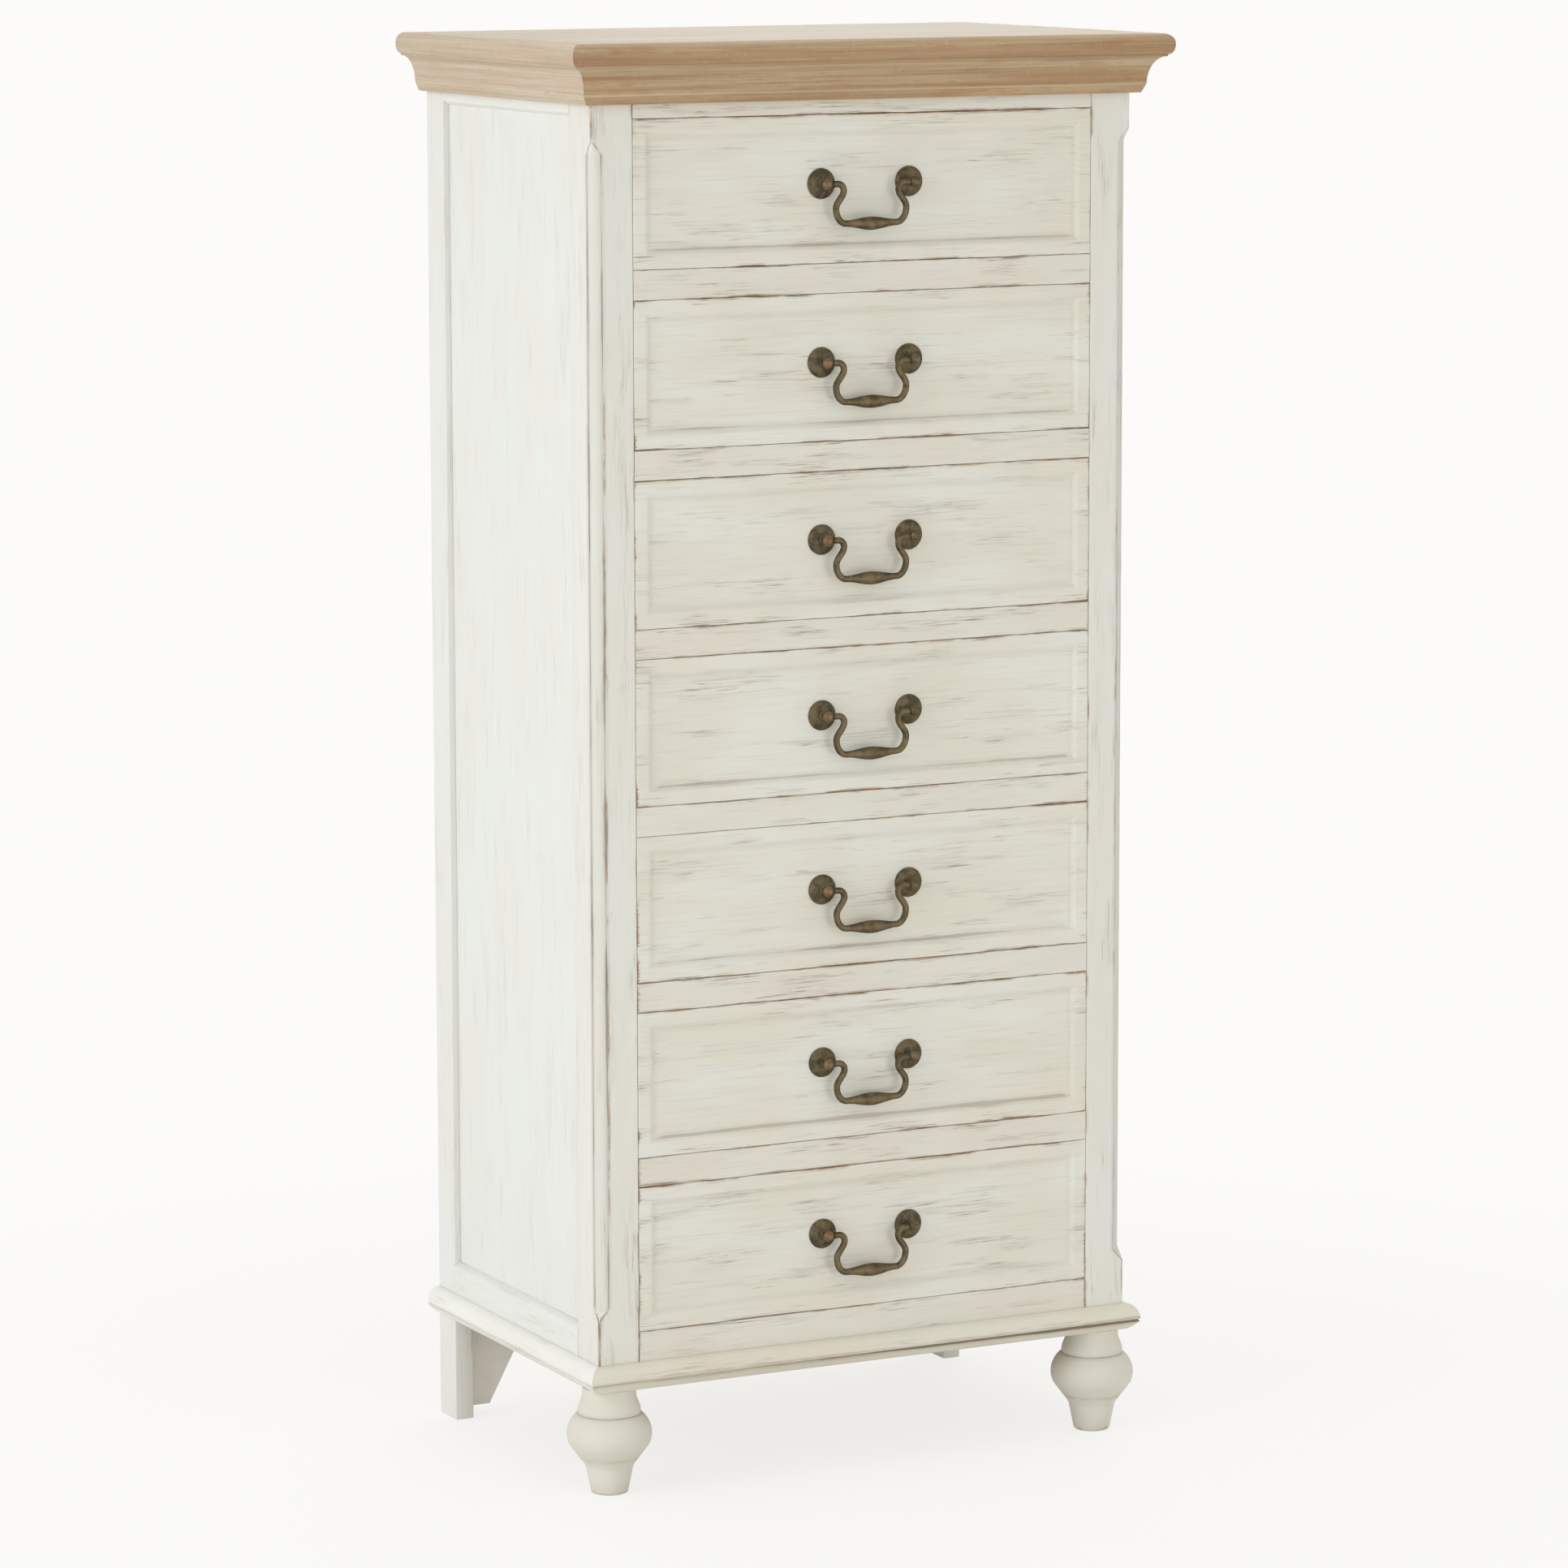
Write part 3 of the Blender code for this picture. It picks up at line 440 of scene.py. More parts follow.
def bar(path: np.ndarray, radius: np.ndarray, place: Place, steps: int) -> Skin:
    """Round bar along a flat path.

    Row i and column j lie at path point i, its radius i away at an angle j, in the plane of the
    path's own normal and the direction out of it. The arris mark is the share of the bar's
    girth that faces outward, where hands rub it bright.

    Args:
        path: Points along the middle of the bar, (across, up).
        radius: Radius at each point.
        place: Plane of the path.
        steps: Points in each ring.

    Returns:
        The closed bar.
    """
    ahead = np.gradient(path, axis=0)
    ahead /= np.linalg.norm(ahead, axis=1, keepdims=True)
    angle = np.arange(steps)[None, :] * math.tau / steps
    spread = radius[:, None] * np.cos(angle)
    across, up = path[:, :1] - ahead[:, 1:] * spread, path[:, 1:] + ahead[:, :1] * spread
    facing = np.clip(np.sin(angle), 0.0, 1.0) * np.ones_like(radius)[:, None]
    return closed_grid(place.at(across, up, radius[:, None] * np.sin(angle)), facing, np.zeros(1))


# Finishes


def linear(hex_colour: str) -> tuple[float, ...]:
    """Linear colour with alpha one of an sRGB hex value such as "e8e4d8"."""
    parts = [int(hex_colour[i:i + 2], 16) / 255.0 for i in (0, 2, 4)]
    return (*[c / 12.92 if c <= 0.04045 else ((c + 0.055) / 1.055) ** 2.4 for c in parts], 1.0)


def add_node(
    tree: bpy.types.NodeTree, kind: str, inputs: dict[Any, Any] | None = None, **settings: str
) -> bpy.types.Node:
    """Add a node with its settings and links.

    Args:
        tree: Node tree that gets it.
        kind: Its type name after ShaderNode.
        inputs: By name or number, an input's value, or the node or socket that feeds it.
        settings: Its other properties.

    Returns:
        The node.
    """
    node = tree.nodes.new(f"ShaderNode{kind}")
    for key, value in settings.items():
        setattr(node, key, value)
    for key, value in (inputs or {}).items():
        source = value.outputs[0] if isinstance(value, bpy.types.Node) else value
        if isinstance(source, bpy.types.NodeSocket):
            tree.links.new(node.inputs[key], source)
        else:
            node.inputs[key].default_value = source
    return node


def new_material(name: str, even: dict[str, Any]) -> tuple[bpy.types.Material, bpy.types.Node]:
    """Make a material whose shader is already set where it is the same all over.

    Args:
        name: Name of the material.
        even: Values by the shader's input.

    Returns:
        The material and its Principled shader.
    """
    material = bpy.data.materials.new(name)
    material.use_nodes = True
    shader = material.node_tree.nodes["Principled BSDF"]
    for word, value in even.items():
        shader.inputs[word].default_value = value
    return material, shader


class Grain(Enum):
    """Axis that the grain of a board runs along."""

    WIDE = 0
    DEEP = 1
    TALL = 2
    NONE = -1

    def stretch(self, along: float, across: float) -> tuple[float, ...]:
        """Scale that gives a noise these lengths in millimetres along and across the grain."""
        return tuple(1000.0 / (along if axis == self.value else across) for axis in range(3))


class Step(Enum):
    """How a finish works out a value, as (node, setting, choice, inputs in order, output).

    SOFT and EVEN take a value, a low, a high, and what they give at the high and at the low. In
    between, SOFT runs S-shaped and EVEN straight. OVER takes a share, a colour and the one laid
    over it. SHADE takes a colour and a factor, and the rest take plain numbers.
    """

    SOFT = ("MapRange", "interpolation_type", "SMOOTHSTEP", (0, 1, 2, 4, 3), 0)
    EVEN = ("MapRange", "interpolation_type", "LINEAR", (0, 1, 2, 4, 3), 0)
    OVER = ("Mix", "data_type", "RGBA", (0, 6, 7), 2)
    SHADE = ("VectorMath", "operation", "SCALE", (0, 3), 0)
    TIMES = ("Math", "operation", "MULTIPLY", (0, 1), 0)
    TIMES_PLUS = ("Math", "operation", "MULTIPLY_ADD", (0, 1, 2), 0)
    PLUS = ("Math", "operation", "ADD", (0, 1), 0)
    LARGER = ("Math", "operation", "MAXIMUM", (0, 1), 0)


@dataclass(frozen=True)
class Finish:
    """What all finishes share.

    Attributes:
        name: Name of the material.
        grain: Axis of the grain.
    """

    name: str
    grain: Grain

    def material(self) -> bpy.types.Material:
        """The finish's material, built when the first piece asks for it."""
        return bpy.data.materials.get(self.name) or self.build()

    def made(
        self, noises: dict[str, Triple], steps: dict[str, Any], relief: float, even: dict[str, float]
    ) -> bpy.types.Material:
        """Material worked out from noises and from the piece's own attributes.

        The noises lie on Object coordinates and stretch along the grain. The attribute board
        moves them, so that two boards never share a figure.

        Args:
            noises: For each noise its length along and across the grain in millimetres, and its
                detail.
            steps: For each value a row of a Step and what feeds it: numbers, colours, further
                rows, or the names of noises, attributes and earlier values. The shader takes
                the values colour, roughness and height.
            relief: Strength of the relief that the height gives.
            even: What is the same all over, by the shader's input.

        Returns:
            The material.
        """
        material, shader = new_material(self.name, even)
        tree = material.node_tree
        spot = add_node(tree, "TexCoord").outputs["Object"]
        shift = add_node(tree, "Attribute", attribute_name="board").outputs["Vector"]
        found = {}
        for word, (along, across, detail) in noises.items():
            scale = self.grain.stretch(along, across)
            place = add_node(tree, "Mapping", {"Vector": spot, "Location": shift, "Scale": scale})
            inputs = {"Vector": place, "Scale": 1.0, "Detail": detail, "Roughness": 0.6}
            found[word] = add_node(tree, "TexNoise", inputs).outputs[0]

        def fed(feed: Any) -> Any:
            """Socket, colour or number that a feed stands for.

            Args:
                feed: Row of a Step, a name, a hex colour, a socket or a number.

            Returns:
                What an input can take.
            """
            if isinstance(feed, tuple):
                kind, setting, choice, slots, output = feed[0].value
                inputs = dict(zip(slots, [fed(part) for part in feed[1:]]))
                return add_node(tree, kind, inputs, **{setting: choice}).outputs[output]
            if feed in MARKS and feed not in found:
                found[feed] = add_node(tree, "Attribute", attribute_name=feed).outputs["Fac"]
            return found[feed] if feed in found else linear(feed) if isinstance(feed, str) else feed

        for word, row in steps.items():
            found[word] = fed(row)
        inputs = {"Strength": relief, "Distance": 0.1 * MM, "Height": found["height"]}
        found["bump"] = add_node(tree, "Bump", inputs).outputs[0]
        for socket, word in (("Base Color", "colour"), ("Roughness", "roughness"), ("Normal", "bump")):
            if word in found:
                tree.links.new(shader.inputs[socket], found[word])
        return material


@dataclass(frozen=True)
class WornPaint(Finish):
    """Chalk paint brushed on pine, wire brushed along the grain and sanded at the edges.

    To the eye: a flat off-white that turns slightly warm and cool, short grey hairs where the
    brush opened the grain, and thin brown streaks along the edges where wood shows through.

    Attributes:
        coat: Paint where it is thick.
        warm: Paint where the wood warms it.
        wear: How far the edges are sanded, from nought to one.
        scratches: How strongly the opened grain shows.
        corner_wax_and_shade: How strongly the inner corners hold dark wax, and how dark the soft
            painted shade beside them is.
        wax: Colour of that wax and of the painted shade.
    """

    coat: str
    warm: str
    wear: float = 1.0
    scratches: float = 1.0
    corner_wax_and_shade: float = 0.4
    wax: str = "8d7964"

    def build(self) -> bpy.types.Material:
        """Build the material.

        Returns:
            The material.
        """
        noises = {
            "cloud": (170.0, 55.0, 2.0),
            "brush": (55.0, 1.7, 4.0),
            "hair": (42.0, 1.0, 3.0),
            "patch": (110.0, 15.0, 3.0),
            "press": (80.0, 50.0, 3.0),
            "tone": (16.0, 1.5, 2.0),
        }
        smudging, opening = 0.30 * self.scratches, min(0.85, 0.80 * self.scratches)
        steps = {
            "sanded": (Step.SOFT, (Step.TIMES_PLUS, "rub", 0.30, "press"), 0.60, 0.76, self.wear),
            "near": (Step.TIMES, (Step.SOFT, "arris", 0.62, 1.0), "sanded"),
            "ground": (Step.OVER, (Step.SOFT, "cloud", 0.36, 0.64), self.coat, self.warm),
            "strokes": (Step.SOFT, "brush", 0.48, 0.78, 0.24 * self.scratches),
            "brushed": (Step.OVER, "strokes", "ground", "aaa69a"),
            "patchy": (Step.SOFT, "patch", 0.52, 0.66),
            "smudge": (Step.TIMES, "patchy", (Step.SOFT, "brush", 0.42, 0.6, smudging)),
            "smudged": (Step.OVER, "smudge", "brushed", "a9a192"),
            "thin": (Step.TIMES, "near", (Step.SOFT, "brush", 0.40, 0.58, 0.22)),
            "thinned": (Step.OVER, "thin", "smudged", "bcad95"),
            "opened": (Step.SOFT, (Step.TIMES_PLUS, "near", 0.13, "hair"), 0.575, 0.67, opening),
            "spread": (Step.SOFT, (Step.TIMES_PLUS, "arris", 0.07, "patch"), 0.555, 0.665),
            "hairs": (Step.TIMES, "opened", (Step.LARGER, "spread", "near")),
            "dark_wood": (Step.OVER, (Step.EVEN, "tone", 0.38, 0.51), "5f574d", "8c745e"),
            "wood": (Step.OVER, (Step.EVEN, "tone", 0.51, 0.62), "dark_wood", "c29260"),
            "tinge": (Step.OVER, (Step.SOFT, "near", 0.1, 0.6), "877d70", "wood"),
            "scratched": (Step.OVER, "hairs", "thinned", "tinge"),
            "rim": (Step.TIMES, (Step.SOFT, "arris", 0.905, 0.975), "sanded"),
            "bare": (Step.TIMES, "rim", (Step.SOFT, "tone", 0.34, 0.50)),
            "bared": (Step.OVER, "bare", "scratched", "wood"),
            # Painted shade: a soft darkening in the wax colour that spreads some 6 mm from inner corners.
            "waxed": (Step.OVER, (Step.SOFT, "crease", 0.2, 1.0, 0.3 * self.corner_wax_and_shade), "bared", self.wax),
            "held": (Step.TIMES_PLUS, "patch", 0.8, "crease"),
            "colour": (Step.OVER, (Step.SOFT, "held", 1.24, 1.44, 0.8 * self.corner_wax_and_shade), "waxed", self.wax),
            "roughness": (Step.EVEN, "brush", 0.3, 0.7, 0.66, 0.54),
            "height": (Step.TIMES_PLUS, (Step.PLUS, "hairs", "bare"), -1.5, "brush"),
        }
        return self.made(noises, steps, 0.5, {"IOR": 1.47, "Specular IOR Level": 0.35})


@dataclass(frozen=True)
class LimedOak(Finish):
    """Oak rubbed with a pale lime wax and sanded flat.

    To the eye: tan wood with long soft bands, pale wax in the open pores, fine dark pore lines
    and a dull wax surface.

    Attributes:
        pale: Colour where the wax is thick.
        deep: Colour of the wood between.
        stain: Colour of the reddish patches.
        pores: Colour of the pore lines.
    """

    pale: str
    deep: str
    stain: str
    pores: str

    def build(self) -> bpy.types.Material:
        """Build the material.

        Returns:
            The material.
        """
        noises = {
            "band": (420.0, 9.0, 3.0),
            "line": (190.0, 1.9, 4.0),
            "pore": (16.0, 1.1, 2.0),
            "patch": (70.0, 16.0, 2.0),
            "fleck": (2.4, 9.0, 2.0),
        }
        steps = {
            "banded": (Step.OVER, (Step.SOFT, "band", 0.34, 0.66), self.pale, self.deep),
            "stained": (Step.OVER, (Step.SOFT, "patch", 0.54, 0.70, 0.55), "banded", self.stain),
            "lined": (Step.OVER, (Step.EVEN, "line", 0.50, 0.72, 0.50), "stained", self.pores),
            "pored": (Step.OVER, (Step.EVEN, "pore", 0.58, 0.70, 0.42), "lined", self.pores),
            "flecked": (Step.OVER, (Step.EVEN, "fleck", 0.60, 0.74, 0.16), "pored", "dccbb0"),
            # Painted highlight: a thin pale line at the crease mark, which on oak lies only along the
            # cornice's corner between band and hollow.
            "dusty": (Step.OVER, (Step.EVEN, "crease", 0.88, 1.0, 0.5), "flecked", "d9c6a6"),
            # Browner over USUAL_RUB: stains, the cornice's browner hollow foot and band, and painted shade
            # on the lower front of the top's nose.
            "browned": (Step.OVER, (Step.EVEN, "rub", USUAL_RUB, USUAL_RUB + 1.0), "dusty", "8a5a3a"),
            # Paler under USUAL_RUB: painted highlight on the top of the nose, the top of the cornice's
            # hollow and its band's top edge.
            "colour": (Step.OVER, (Step.EVEN, "rub", USUAL_RUB, USUAL_RUB - 1.0), "browned", "c4b8a4"),
            "roughness": (Step.EVEN, "line", 0.3, 0.7, 0.62, 0.50),
            "height": (Step.TIMES, "line", -1.0),
        }
        return self.made(noises, steps, 0.5, {"IOR": 1.48, "Specular IOR Level": 0.35})


@dataclass(frozen=True)
class BareWood(Finish):
    """Planed softwood or plywood without a finish.

    To the eye: an even pale ground, darker growth lines and a dry surface.

    Attributes:
        light: Colour of the spring wood.
        dark: Colour of the growth lines.
        roughness: Roughness of the planed face.
    """

    light: str
    dark: str
    roughness: float

    def build(self) -> bpy.types.Material:
        """Build the material.

        Returns:
            The material.
        """
        noises = {"ring": (520.0, 7.0, 3.0), "fibre": (60.0, 1.2, 3.0), "cloud": (200.0, 60.0, 2.0)}
        steps = {
            "wood": (Step.OVER, (Step.SOFT, "ring", 0.46, 0.60, 0.75), self.light, self.dark),
            "fibred": (Step.OVER, (Step.EVEN, "fibre", 0.48, 0.75, 0.35), "wood", self.dark),
            "colour": (Step.SHADE, "fibred", (Step.EVEN, "cloud", 0.35, 0.65, 1.06, 0.88)),
            "height": "fibre",
        }
        return self.made(noises, steps, 0.4, {"Roughness": self.roughness, "IOR": 1.5})


@dataclass(frozen=True)
class AgedBrass(Finish):
    """Cast brass, browned in a bath and rubbed back where fingers touch it.

    To the eye: an olive brown metal, nearly black in its hollows, with warm yellow spots on the
    crowns and a soft broken shine.

    Attributes:
        brown: Colour of the browned skin.
        dark: Colour of its darker patches.
        bright: Colour where it is rubbed.
        rubbing: How strongly the high places are rubbed.
    """

    brown: str = "71654e"
    dark: str = "544d3d"
    bright: str = "947c58"
    rubbing: float = 0.7

    def build(self) -> bpy.types.Material:
        """Build the material.

        Returns:
            The material.
        """
        noises = {"cloud": (9.0, 9.0, 3.0), "speck": (1.6, 1.6, 3.0)}
        steps = {
            "skin": (Step.OVER, (Step.SOFT, "cloud", 0.38, 0.62), self.dark, self.brown),
            "broken": (Step.TIMES_PLUS, "speck", 0.8, "arris"),
            "colour": (Step.OVER, (Step.EVEN, "broken", 1.22, 1.6, self.rubbing), "skin", self.bright),
            "roughness": (Step.EVEN, "speck", 0.3, 0.7, 0.70, 0.52),
            "height": "speck",
        }
        return self.made(noises, steps, 0.35, {"Metallic": 1.0})


class Look(Enum):
    """The tallboy's finishes."""

    # These paints stand for one paint. Their coats differ part by part to set how bright and how warm or
    # cool each part comes out under the lamps, which is partly painted light: the sides are painted cooler
    # than the front, and the side foot mouldings and the apron, low down in shade, get the palest coat, a
    # painted lightening of their shade.
    FRONT = WornPaint("worn_paint_on_drawers", Grain.WIDE, "e2e1d7", "dfdbcd", 1.0, 0.95, 0.48)
    RAIL = WornPaint("worn_paint_on_rails", Grain.WIDE, "dfddd2", "ddd8cb", 0.75)
    LIP = WornPaint(
        "worn_paint_on_foot_moulding", Grain.WIDE, "dfdccd", "ded7c6", 0.35, 0.6, 0.9, "745f46"
    )
    POST = WornPaint("worn_paint_on_posts", Grain.TALL, "e2e2da", "e1dfd6", 0.9, 0.65, 0.8, "8c8273")
    SIDE_RAIL = WornPaint(
        "worn_paint_on_side_rails", Grain.DEEP, "e3e5df", "e3e3db", 0.0, 0.4, 0.6, "aeaaa0"
    )
    SIDE_LIP = WornPaint(
        "worn_paint_on_side_mouldings", Grain.DEEP, "ecece5", "eae8e0", 0.0, 0.4, 0.5, "b9b2a2"
    )
    PANEL = WornPaint("worn_paint_on_sides", Grain.TALL, "e2e4de", "e2e1da", 0.0, 0.4, 0.5, "aca390")
    FOOT = WornPaint("worn_paint_on_feet", Grain.TALL, "dcdacf", "d9d5c8", 0.0, 0.12, 0.6, "aaa18f")
    OAK_TOP = LimedOak("limed_oak_top", Grain.WIDE, "cdc3b2", "bcae98", "c6ad96", "958976")
    OAK_FRONT = LimedOak("limed_oak_front", Grain.WIDE, "bda582", "a88862", "a67a55", "84674a")
    OAK_SIDE = LimedOak("limed_oak_side", Grain.DEEP, "cabba6", "bda98e", "cbad98", "a38f77")
    PINE_DEEP = BareWood("planed_pine_deep", Grain.DEEP, "dcc198", "c09a68", 0.62)
    PINE_WIDE = BareWood("planed_pine_wide", Grain.WIDE, "dcc198", "c09a68", 0.62)
    PLY = BareWood("birch_plywood", Grain.TALL, "cdb48d", "b3956b", 0.7)
    BRASS = AgedBrass("aged_brass", Grain.NONE)


def add_piece(
    name: str, skin: Skin, look: Look, body: str, stands_for: Sequence[str] = ()
) -> None:
    """Put a skin in the scene as a piece of the tallboy.

    Args:
        name: Name of the piece.
        skin: Its closed skin.
        look: Its finish.
        body: Body that it rides on.
        stands_for: Solids that it is shown in place of.
    """
    skin = skin.outward()
    mesh = bpy.data.meshes.new(name)
    counts = np.array([4] * len(skin.quads) + [len(cap) for cap in skin.caps], dtype=np.int32)
    corners = np.concatenate([skin.quads.ravel(), *skin.caps]).astype(np.int32)
    mesh.vertices.add(len(skin.points))
    mesh.vertices.foreach_set("co", skin.points.astype(np.float32).ravel())
    mesh.loops.add(len(corners))
    mesh.loops.foreach_set("vertex_index", corners)
    mesh.polygons.add(len(counts))
    mesh.polygons.foreach_set("loop_start", (np.cumsum(counts) - counts).astype(np.int32))
    mesh.update(calc_edges=True)
    mesh.validate()
    number = float(sum(ord(letter) * (i + 3) for i, letter in enumerate(name)) % 97)
    marks = {word: getattr(skin, word) for word in MARKS}
    marks["board"] = np.full(len(skin.points), number)
    for word, values in marks.items():
        layer = mesh.attributes.new(word, "FLOAT", "POINT")
        layer.data.foreach_set("value", values.astype(np.float32))
    mesh.shade_smooth()
    mesh.set_sharp_from_angle(angle=math.radians(32.0))
    mesh.materials.append(look.value.material())
    piece = bpy.data.objects.new(name, mesh)
    bpy.context.scene.collection.objects.link(piece)
    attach(piece, body)
    if stands_for:
        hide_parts(*stands_for)
    LOG.info("%s: %d points on body %s", name, len(skin.points), body)


def corners_of(node: str) -> tuple[np.ndarray, np.ndarray]:
    """Lowest and highest corner of a solid, as arrays."""
    low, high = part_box(node)
    return np.array(low), np.array(high)


# The tallboy's sub-assemblies


class Levels:
    """Main planes of the case, read from the solids."""

    def __init__(self) -> None:
        """Read the planes."""
        low, high = corners_of("front_post_right")
        self.front, self.bottom, self.side = float(low[1]), float(low[2]), float(high[0])
        self.back = float(corners_of("back_panel")[1][1])
        self.base_top = float(corners_of("base_moulding_front")[1][2])
        self.cornice_bottom = float(corners_of("cornice_front")[0][2])

    def runs(self, profile: np.ndarray, gap: float) -> list[tuple[Any, ...]]:
        """Front and side runs of a moulding, mitred at the front corners.

        Args:
            profile: Closed section, rows of (out, up).
            gap: Clearance at each mitre.

        Returns:
            For each run its word and the starts, ends and place for carried_along.
        """
        out = profile[:, 0]
        reach = self.side + out - gap
        starts, ends = self.front - out + gap, np.full_like(out, self.back)
        sides = [(word, starts, ends, side_on(way * self.side, way)) for word, way in SIDES]
        return [("front", -reach, reach, Place((0.0, self.front, 0.0))), *sides]


@dataclass
class Top:
    """Oak top: a wide board with a half-round nosing on its front and ends.

    Attributes:
        nosing: Width of the nosing strips.
        joint: Gap of the glued joints.
        flat: Height of the flat in the middle of the nose.
        under: How far the nose's lower curve reaches in.
        rounding: Size of the strips' small inner edges.
        stain: How much browner the front nosing is painted below its top, a painted shade where
            less light falls on the nose's front.
        lime: How much paler its top is painted, a painted highlight where light from above falls.
        corner_stain: How much redder it is by the left corner.
        corner_reach: How far along that goes.
    """

    nosing: float = 24 * MM
    joint: float = 0.12 * MM
    flat: float = 1.5 * MM
    under: float = 5.2 * MM
    rounding: float = 0.25 * MM
    stain: float = 0.2
    lime: float = 0.25
    corner_stain: float = 0.22
    corner_reach: float = 0.11

    def build(self, levels: Levels) -> None:
        """Make the board and its three nosing strips.

        Args:
            levels: Main planes of the case.
        """
        low, high = corners_of("top_board")
        out = levels.front - low[1]
        inner = out - self.nosing
        edge = levels.side + inner - self.joint
        near = (-edge, levels.front - inner + self.joint, low[2])
        core = board(near, (edge, high[1], high[2]), Facing.UP, self.rounding)
        add_piece("top_core", core, Look.OAK_TOP, "case", ["top_board"])
        profile = self.section(out, inner, float(low[2]), float(high[2]))
        for word, starts, ends, place in levels.runs(profile, 0.1 * MM):
            skin = carried_along(profile, starts, ends, place, step=0.03)
            look = Look.OAK_SIDE
            if word == "front":
                look = Look.OAK_FRONT
                # Painted light: paler near the nose's top where light from above falls, browner below it as
                # painted shade; the corner term is a redder stain by the left corner.
                x, z = skin.points[:, 0], skin.points[:, 2]
                corner = ease((self.corner_reach - levels.side - x) / self.corner_reach)
                sunk = ease((high[2] - z) / (0.6 * (high[2] - low[2])))
                deep = (self.stain + self.lime) * sunk - self.lime
                skin.rub = USUAL_RUB + deep + self.corner_stain * corner * sunk
            add_piece(f"top_nosing_{word}", skin, look, "case")

    def section(self, out: float, inner: float, bottom: float, top: float) -> np.ndarray:
        """Closed section of the nosing: two quarter ellipses with a short flat, and a square back.

        Args:
            out: Where the nose ends.
            inner: Where the strip meets the board.
            bottom: Underside.
            top: Upper side.

        Returns:
            Rows of (out, up).
        """
        radius, edge = (top - bottom - self.flat) / 2, self.rounding
        lower = bend(-90, 0, 10) * [self.under, radius] + [out - self.under, bottom + radius]
        upper = bend(0, 90, 10) * [radius * 1.05, radius] + [out - radius * 1.05, top - radius]
        back = [[inner + edge, top], [inner, top - edge], [inner, bottom + edge], [inner + edge, bottom]]
        return np.concatenate([lower, upper, back])


@dataclass
class Cornice:
    """Oak moulding under the top: a leaning band, a deep hollow and a thin lip.

    Attributes:
        band_foot: Distance out at the band's foot.
        band: Distance out at the band's top.
        band_height: Height of the band.
        lip: Distance out of the lip.
        lip_height: Height of the lip.
        stain: How much browner the foot of the front hollow is.
        lime: How much paler its top is painted, a painted highlight where light from below falls on
            the hollow.
        ridge_highlight: How much paler the top edge of the band is painted, a painted highlight.
        wall: Gap to the case.
    """

    band_foot: float = 8.5 * MM
    band: float = 11.5 * MM
    band_height: float = 8.0 * MM
    lip: float = 27.5 * MM
    lip_height: float = 2.0 * MM
    stain: float = 0.13
    lime: float = 0.2
    ridge_highlight: float = 0.35
    wall: float = 0.3 * MM

    def build(self, levels: Levels) -> None:
        """Make the front run and the two side runs.

        Args:
            levels: Main planes of the case.
        """
        profile, crease = self.section(levels.cornice_bottom)
        for word, starts, ends, place in levels.runs(profile, 0.15 * MM):
            skin = carried_along(profile, starts, ends, place, creases=[crease], step=0.03)
            look = Look.OAK_SIDE
            if word == "front":
                look = Look.OAK_FRONT
                # Painted light on the front run: the hollow's top is painted paler where light from below
                # falls, and the band's top edge paler still as a painted highlight; the hollow's foot and
                # the band are painted browner.
                height = profile[:, 1]
                low_hollow = ease((height.max() - height - 9 * MM) / (3 * MM))
                hollow = self.stain * low_hollow - self.lime * (1.0 - low_hollow)
                stain = np.where(height > height[crease] + 0.5 * MM, hollow, 0.5 * self.stain)
                stain[crease - 1 : crease + 1] = -self.ridge_highlight
                skin.rub = USUAL_RUB + np.tile(stain, len(skin.points) // len(profile))
            add_piece(f"oak_cornice_{word}", skin, look, "case", [f"cornice_{word}"])

    def section(self, low: float) -> tuple[np.ndarray, int]:
        """Closed section; the hollow is a quarter of an ellipse.

        Args:
            low: Underside.

        Returns:
            Rows of (out, up) and the number of the one on the inner corner.
        """
        high = float(corners_of("top_board")[0][2]) - 0.05 * MM
        centre = (self.lip - 0.6 * MM, low + self.band_height + 0.8 * MM)
        radii = (centre[0] - self.band - 0.6 * MM, high - self.lip_height - centre[1])
        foot, top, height = self.band_foot, self.band, low + self.band_height
        band = [
            [self.wall, low], [foot - 1.0 * MM, low], [foot - 0.3 * MM, low + 0.3 * MM],
            [foot, low + 1.0 * MM], [top - 0.1 * MM, height - 0.6 * MM], [top - 0.2 * MM, height],
        ]
        lip = [[self.lip, high - self.lip_height + 0.2 * MM], [self.lip, high], [self.wall, high]]
        return np.concatenate([band, bend(180, 90, 18) * radii + centre, lip]), len(band)


